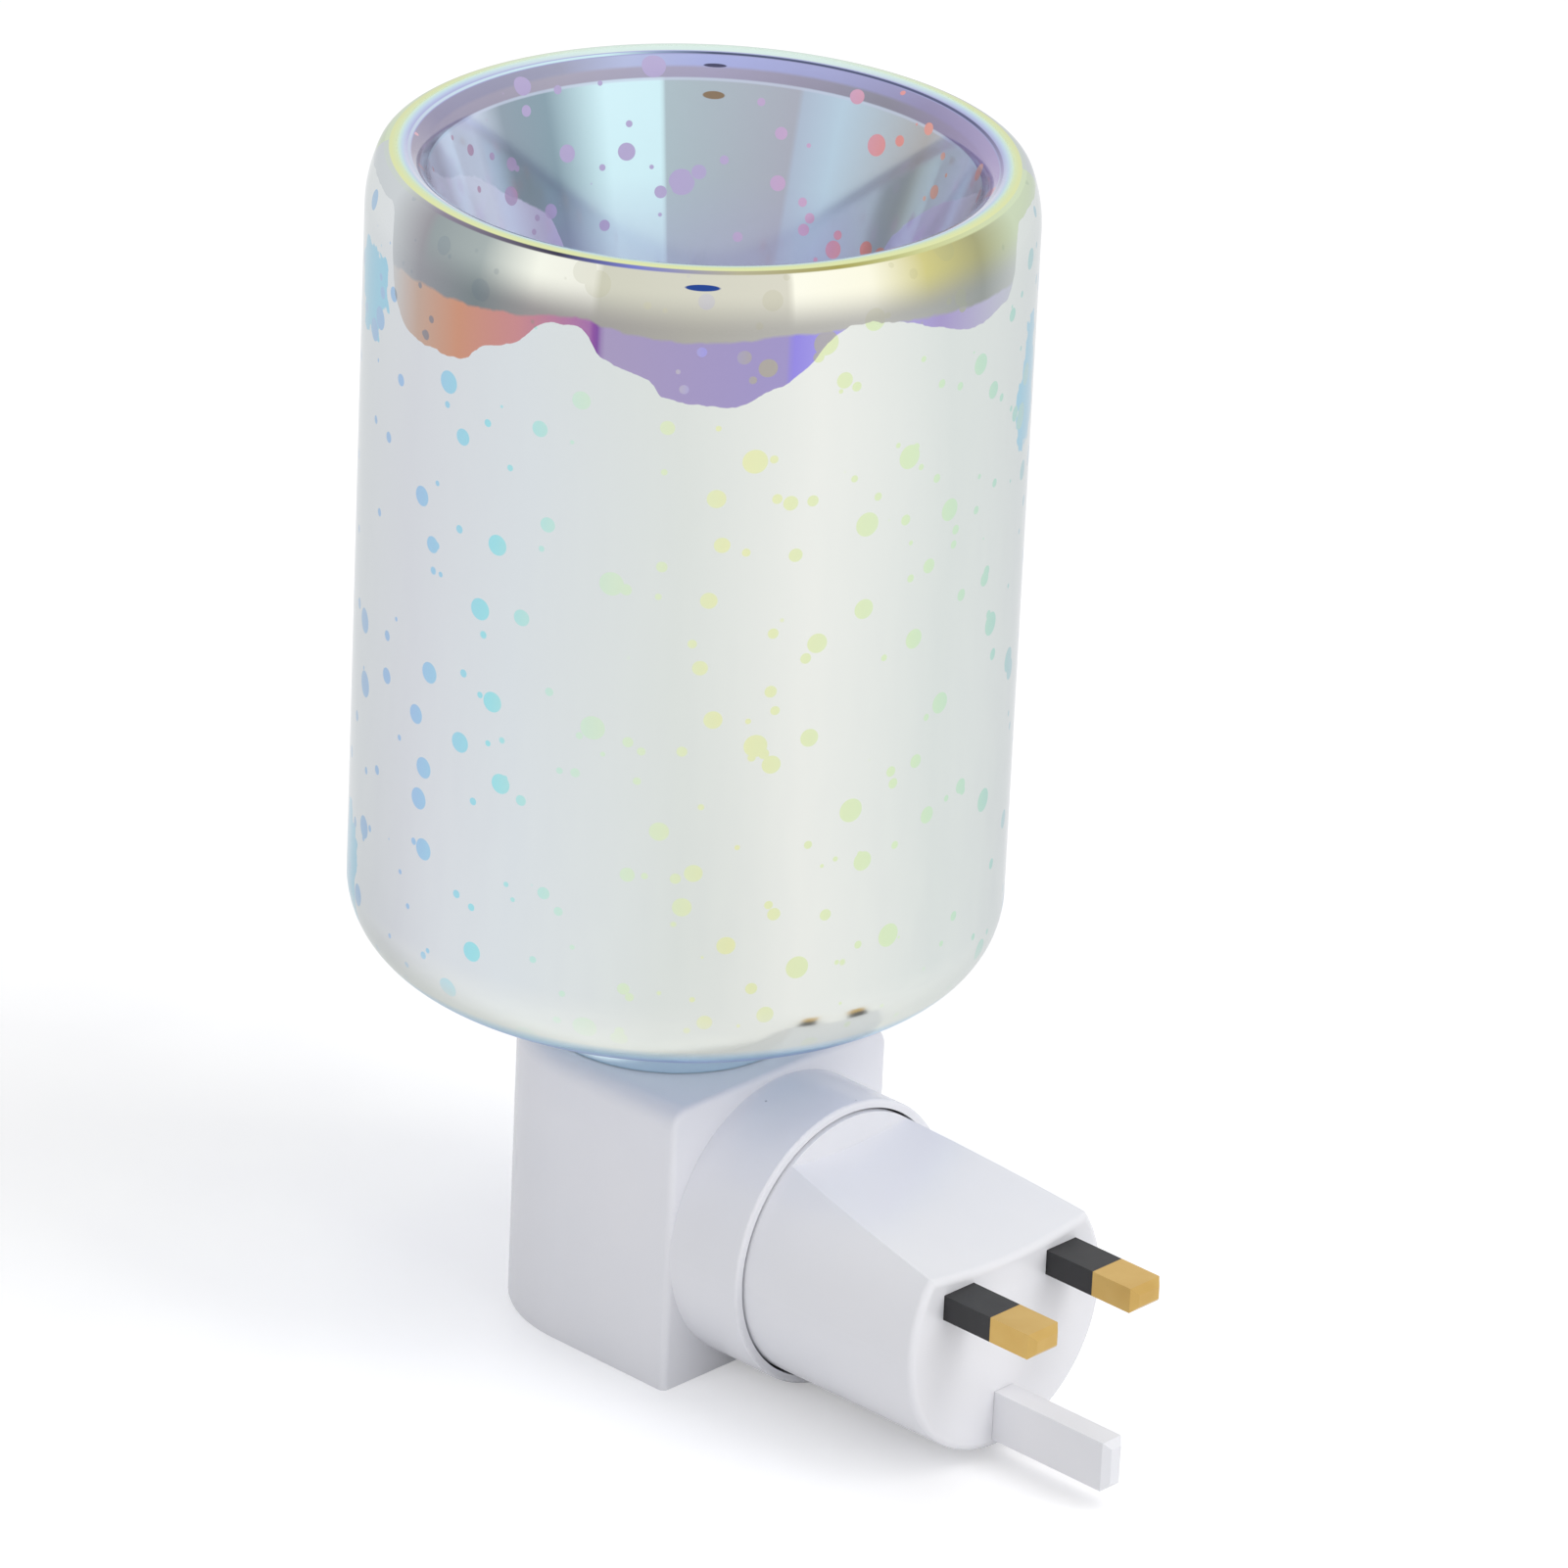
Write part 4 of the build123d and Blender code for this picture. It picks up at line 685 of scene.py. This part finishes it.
def bowlMask(tree, c, s, g):
    # inside the lip's crest and above the neck
    crest = rollRadius(s)
    inner = addNode(tree, "ShaderNodeMapRange", values={
        "From Min": crest * mm, "From Max": (crest - c["bowlEdge"]) * mm}, links={"Value": g["radius"]})
    high = addNode(tree, "ShaderNodeMapRange", values={
        "From Min": c["bowlFrom"][0] * mm, "From Max": c["bowlFrom"][1] * mm}, links={"Value": g["height"]})
    return addNode(tree, "ShaderNodeMath", {"operation": "MULTIPLY"},
                   links={0: inner.outputs[0], 1: high.outputs[0]}).outputs[0]


def pearlGlass(c, s):
    mat, tree = newMaterial("pearlPlatedGlass")
    g = glassPlaces(tree, c, s)
    dotted = dotMask(tree, c, g)
    outside = shoulderColour(tree, c, g, dotted, wallColour(tree, c, s, g, dotted))
    outside, heel = heelColour(tree, c, s, g, outside)
    bowl, below = bowlColour(tree, c, g, dotted)
    sides = {"wall": outside, "bowl": bowl}
    for side, tint, place in c["spots"]:
        within = addNode(tree, "ShaderNodeMapRange", values={
            "From Min": c["spotEdge"][0], "From Max": c["spotEdge"][1]},
            links={"Value": spotSpan(tree, s, g, *place)})
        sides[side] = addNode(tree, "ShaderNodeMix", rgba, {7: hexColour(tint)},
                              {"Factor": within.outputs[0], 6: sides[side]}).outputs[2]
    inBowl = bowlMask(tree, c, s, g)
    colour = addNode(tree, "ShaderNodeMix", rgba,
                     links={"Factor": inBowl, 6: sides["wall"], 7: sides["bowl"]})
    lipTint, lip = lipColour(tree, c, s, g)
    colour = addNode(tree, "ShaderNodeMix", rgba, links={"Factor": lip, 6: colour.outputs[2], 7: lipTint})
    # blown glass is never quite true, so long shallow waves; the gloss drifts and is duller at the heel
    wave = addNode(tree, "ShaderNodeTexNoise", values={"Scale": 1 / (c["waveCell"] * mm), "Detail": 1.0},
                   links={"Vector": g["coords"]})
    bump = addNode(tree, "ShaderNodeBump", values={
        "Strength": c["waveStrength"], "Distance": c["waveHeight"] * mm},
        links={"Height": wave.outputs["Fac"]})
    dull = addNode(tree, "ShaderNodeMapRange", values={"To Min": c["dull"][0], "To Max": c["dull"][1]},
                   links={"Value": g["drift"]})
    dull = addNode(tree, "ShaderNodeMath", {"operation": "MULTIPLY_ADD"}, {1: c["heelDull"]},
                   {0: heel, 2: dull.outputs[0]})
    # pearl film scatters a little inside the bowl, so it doesn't go black where it mirrors itself
    bowlMetal = addNode(tree, "ShaderNodeMapRange", values={
        "To Min": c["bowlMetal"], "To Max": c["lowMetal"]}, links={"Value": below})
    bowlMetal = addNode(tree, "ShaderNodeMapRange", values={"To Max": 1.0},
                        links={"Value": g["near"], "To Min": bowlMetal.outputs[0]})
    metal = addNode(tree, "ShaderNodeMapRange", values={"To Min": 1.0},
                    links={"Value": inBowl, "To Max": bowlMetal.outputs[0]})
    glass = addNode(tree, "ShaderNodeBsdfPrincipled", values={"Specular Tint": hexColour(c["edgeTint"])},
                    links={"Base Color": colour.outputs[2], "Metallic": metal.outputs[0],
                           "Roughness": dull.outputs[0], "Normal": bump.outputs[0]})
    addNode(tree, "ShaderNodeOutputMaterial", links={"Surface": glass.outputs[0]})
    return mat


glass = turnedPiece("glassShade", shade, pearlGlass(coat, shade))
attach(glass, "shade")
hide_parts("glass_shade")
print("glass shade turned:", len(glass.data.polygons), "faces")

# the rest keep their solids and take a finish. The cells of its flow clouds, the grain, the bump and the
# spacing of dust are in millimetres.
finishes = {
    # injection-moulded ABS from a polished tool: cool white, soft gloss, faint flow clouds, a rare dark speck
    "glossyMouldedAbs": {"colours": ("#eeeff4", "#f2f2f6"), "rough": (0.19, 0.25), "grain": 0.6,
                         "bump": 0.006, "speck": "#a9aab2", "metal": 0.0, "cell": 22.0, "dust": 13.0},
    # heat-proof PBT: warm white, matt, fine spark-eroded grain
    "mattMouldedPbt": {"colours": ("#dcd8ca", "#e4e0d3"), "rough": (0.45, 0.55), "grain": 0.35, "bump": 0.03,
                       "speck": "#c2bcaa", "metal": 0.0, "cell": 8.0, "dust": 6.0},
    # moulded silicone: milky, dull, slightly dusty
    "mouldedSilicone": {"colours": ("#d4d4d0", "#dededb"), "rough": (0.55, 0.68), "grain": 0.4, "bump": 0.03,
                        "speck": "#bdbdb8", "metal": 0.0, "cell": 6.0, "dust": 4.0},
    # stamped brass: warm yellow metal with a rolling haze
    "stampedBrass": {"colours": ("#d0ab64", "#d8b670"), "rough": (0.29, 0.37), "grain": 0.3, "bump": 0.006,
                     "speck": "#b08d4a", "metal": 1.0, "cell": 5.0, "dust": 5.0},
    # zinc-plated steel: blue-grey metal, cloudy
    "zincPlatedSteel": {"colours": ("#adb0b4", "#c0c3c6"), "rough": (0.29, 0.42), "grain": 0.3, "bump": 0.006,
                        "speck": "#8b8e93", "metal": 1.0, "cell": 3.0, "dust": 3.0},
    # drawn aluminium lamp cap: pale metal with a draw haze
    "drawnAluminium": {"colours": ("#c8c9cb", "#d4d5d6"), "rough": (0.29, 0.4), "grain": 0.3, "bump": 0.006,
                       "speck": "#a9aaad", "metal": 1.0, "cell": 4.0, "dust": 4.0},
    # fused black glass insulator: deep black, shiny
    "fusedBlackGlass": {"colours": ("#15161a", "#202126"), "rough": (0.08, 0.16), "grain": 0.5, "bump": 0.01,
                        "speck": "#2c2d33", "metal": 0.0, "cell": 5.0, "dust": 4.0},
    # drawn tungsten wire: dark grey metal
    "drawnTungsten": {"colours": ("#5c5a58", "#71706e"), "rough": (0.4, 0.55), "grain": 0.2, "bump": 0.01,
                      "speck": "#454442", "metal": 1.0, "cell": 2.0, "dust": 2.0},
    # extruded PVC insulation, brown and blue: satin
    "extrudedBrownPvc": {"colours": ("#5a3420", "#6b4128"), "rough": (0.35, 0.5), "grain": 0.3, "bump": 0.02,
                         "speck": "#472817", "metal": 0.0, "cell": 3.0, "dust": 3.0},
    "extrudedBluePvc": {"colours": ("#2f5fae", "#3b6fc0"), "rough": (0.35, 0.5), "grain": 0.3, "bump": 0.02,
                        "speck": "#244c8c", "metal": 0.0, "cell": 3.0, "dust": 3.0},
    # moulded black nylon pin sleeve: dull, fine grain
    "mouldedBlackNylon": {"colours": ("#1b1b1d", "#242427"), "rough": (0.4, 0.55), "grain": 0.25,
                          "bump": 0.03, "speck": "#303034", "metal": 0.0, "cell": 3.0, "dust": 3.0},
}
speckRadius = (0.22, 0.14)  # millimetres, from where a speck starts to show to where it is full
speckShare = 0.8
grainStrength = 0.3
# blown lead-free lamp glass: clear, with a faint green cast and slow ripples
lampGlass = {"colours": ("#f6f9f8", "#fbfdfc"), "ripple": 12.0, "bump": 0.1, "strength": 0.2, "rough": 0.03,
             "index": 1.5}
finishOfSlot = {
    "white_plastic": "glossyMouldedAbs", "holder_plastic": "mattMouldedPbt", "silicone": "mouldedSilicone",
    "brass": "stampedBrass", "steel": "zincPlatedSteel", "nickel": "drawnAluminium",
    "black_glass": "fusedBlackGlass", "clear_glass": "blownClearGlass", "tungsten": "drawnTungsten",
    "brown_wire": "extrudedBrownPvc", "blue_wire": "extrudedBluePvc", "black_plastic": "mouldedBlackNylon",
}


def solidFinish(name, p):
    mat, tree = newMaterial(name)
    coords = addNode(tree, "ShaderNodeTexCoord").outputs["Object"]
    flow = addNode(tree, "ShaderNodeTexNoise", values={"Scale": 1 / (p["cell"] * mm), "Detail": 2.0},
                   links={"Vector": coords})
    tint = addNode(tree, "ShaderNodeValToRGB", links={"Fac": flow.outputs["Fac"]},
                   ramp=[(0.25, p["colours"][0]), (0.75, p["colours"][1])])
    dust = addNode(tree, "ShaderNodeTexVoronoi", values={"Scale": 1 / (p["dust"] * mm)},
                   links={"Vector": coords})
    spot = addNode(tree, "ShaderNodeMapRange", values={
        "From Min": speckRadius[0] / p["dust"], "From Max": speckRadius[1] / p["dust"],
        "To Max": speckShare}, links={"Value": dust.outputs["Distance"]})
    colour = addNode(tree, "ShaderNodeMix", rgba, {7: hexColour(p["speck"])},
                     {"Factor": spot.outputs[0], 6: tint.outputs["Color"]})
    grain = addNode(tree, "ShaderNodeTexNoise", values={"Scale": 1 / (p["grain"] * mm), "Detail": 2.0},
                    links={"Vector": coords})
    rough = addNode(tree, "ShaderNodeMapRange", values={"To Min": p["rough"][0], "To Max": p["rough"][1]},
                    links={"Value": flow.outputs["Fac"]})
    bump = addNode(tree, "ShaderNodeBump", values={"Strength": grainStrength, "Distance": p["bump"] * mm},
                   links={"Height": grain.outputs["Fac"]})
    body = addNode(tree, "ShaderNodeBsdfPrincipled", values={"Metallic": p["metal"]}, links={
        "Base Color": colour.outputs[2], "Roughness": rough.outputs[0], "Normal": bump.outputs[0]})
    addNode(tree, "ShaderNodeOutputMaterial", links={"Surface": body.outputs[0]})
    return mat


def clearGlass(name, p):
    mat, tree = newMaterial(name)
    coords = addNode(tree, "ShaderNodeTexCoord").outputs["Object"]
    ripple = addNode(tree, "ShaderNodeTexNoise", values={"Scale": 1 / (p["ripple"] * mm), "Detail": 1.0},
                     links={"Vector": coords})
    tint = addNode(tree, "ShaderNodeValToRGB", links={"Fac": ripple.outputs["Fac"]},
                   ramp=[(0.3, p["colours"][0]), (0.7, p["colours"][1])])
    bump = addNode(tree, "ShaderNodeBump", values={"Strength": p["strength"], "Distance": p["bump"] * mm},
                   links={"Height": ripple.outputs["Fac"]})
    body = addNode(tree, "ShaderNodeBsdfPrincipled", values={
        "Roughness": p["rough"], "IOR": p["index"], "Transmission Weight": 1.0},
        links={"Base Color": tint.outputs["Color"], "Normal": bump.outputs[0]})
    addNode(tree, "ShaderNodeOutputMaterial", links={"Surface": body.outputs[0]})
    return mat


made = {name: solidFinish(name, plan) for name, plan in finishes.items()}
made["blownClearGlass"] = clearGlass("blownClearGlass", lampGlass)
for part in frame["record"]["subparts"]:
    finish = finishOfSlot.get(part["material_slot"])
    if finish:  # the coated glass has its own
        mats = nodes[part["node"]].data.materials
        mats.clear()
        mats.append(made[finish])
print("finishes laid")
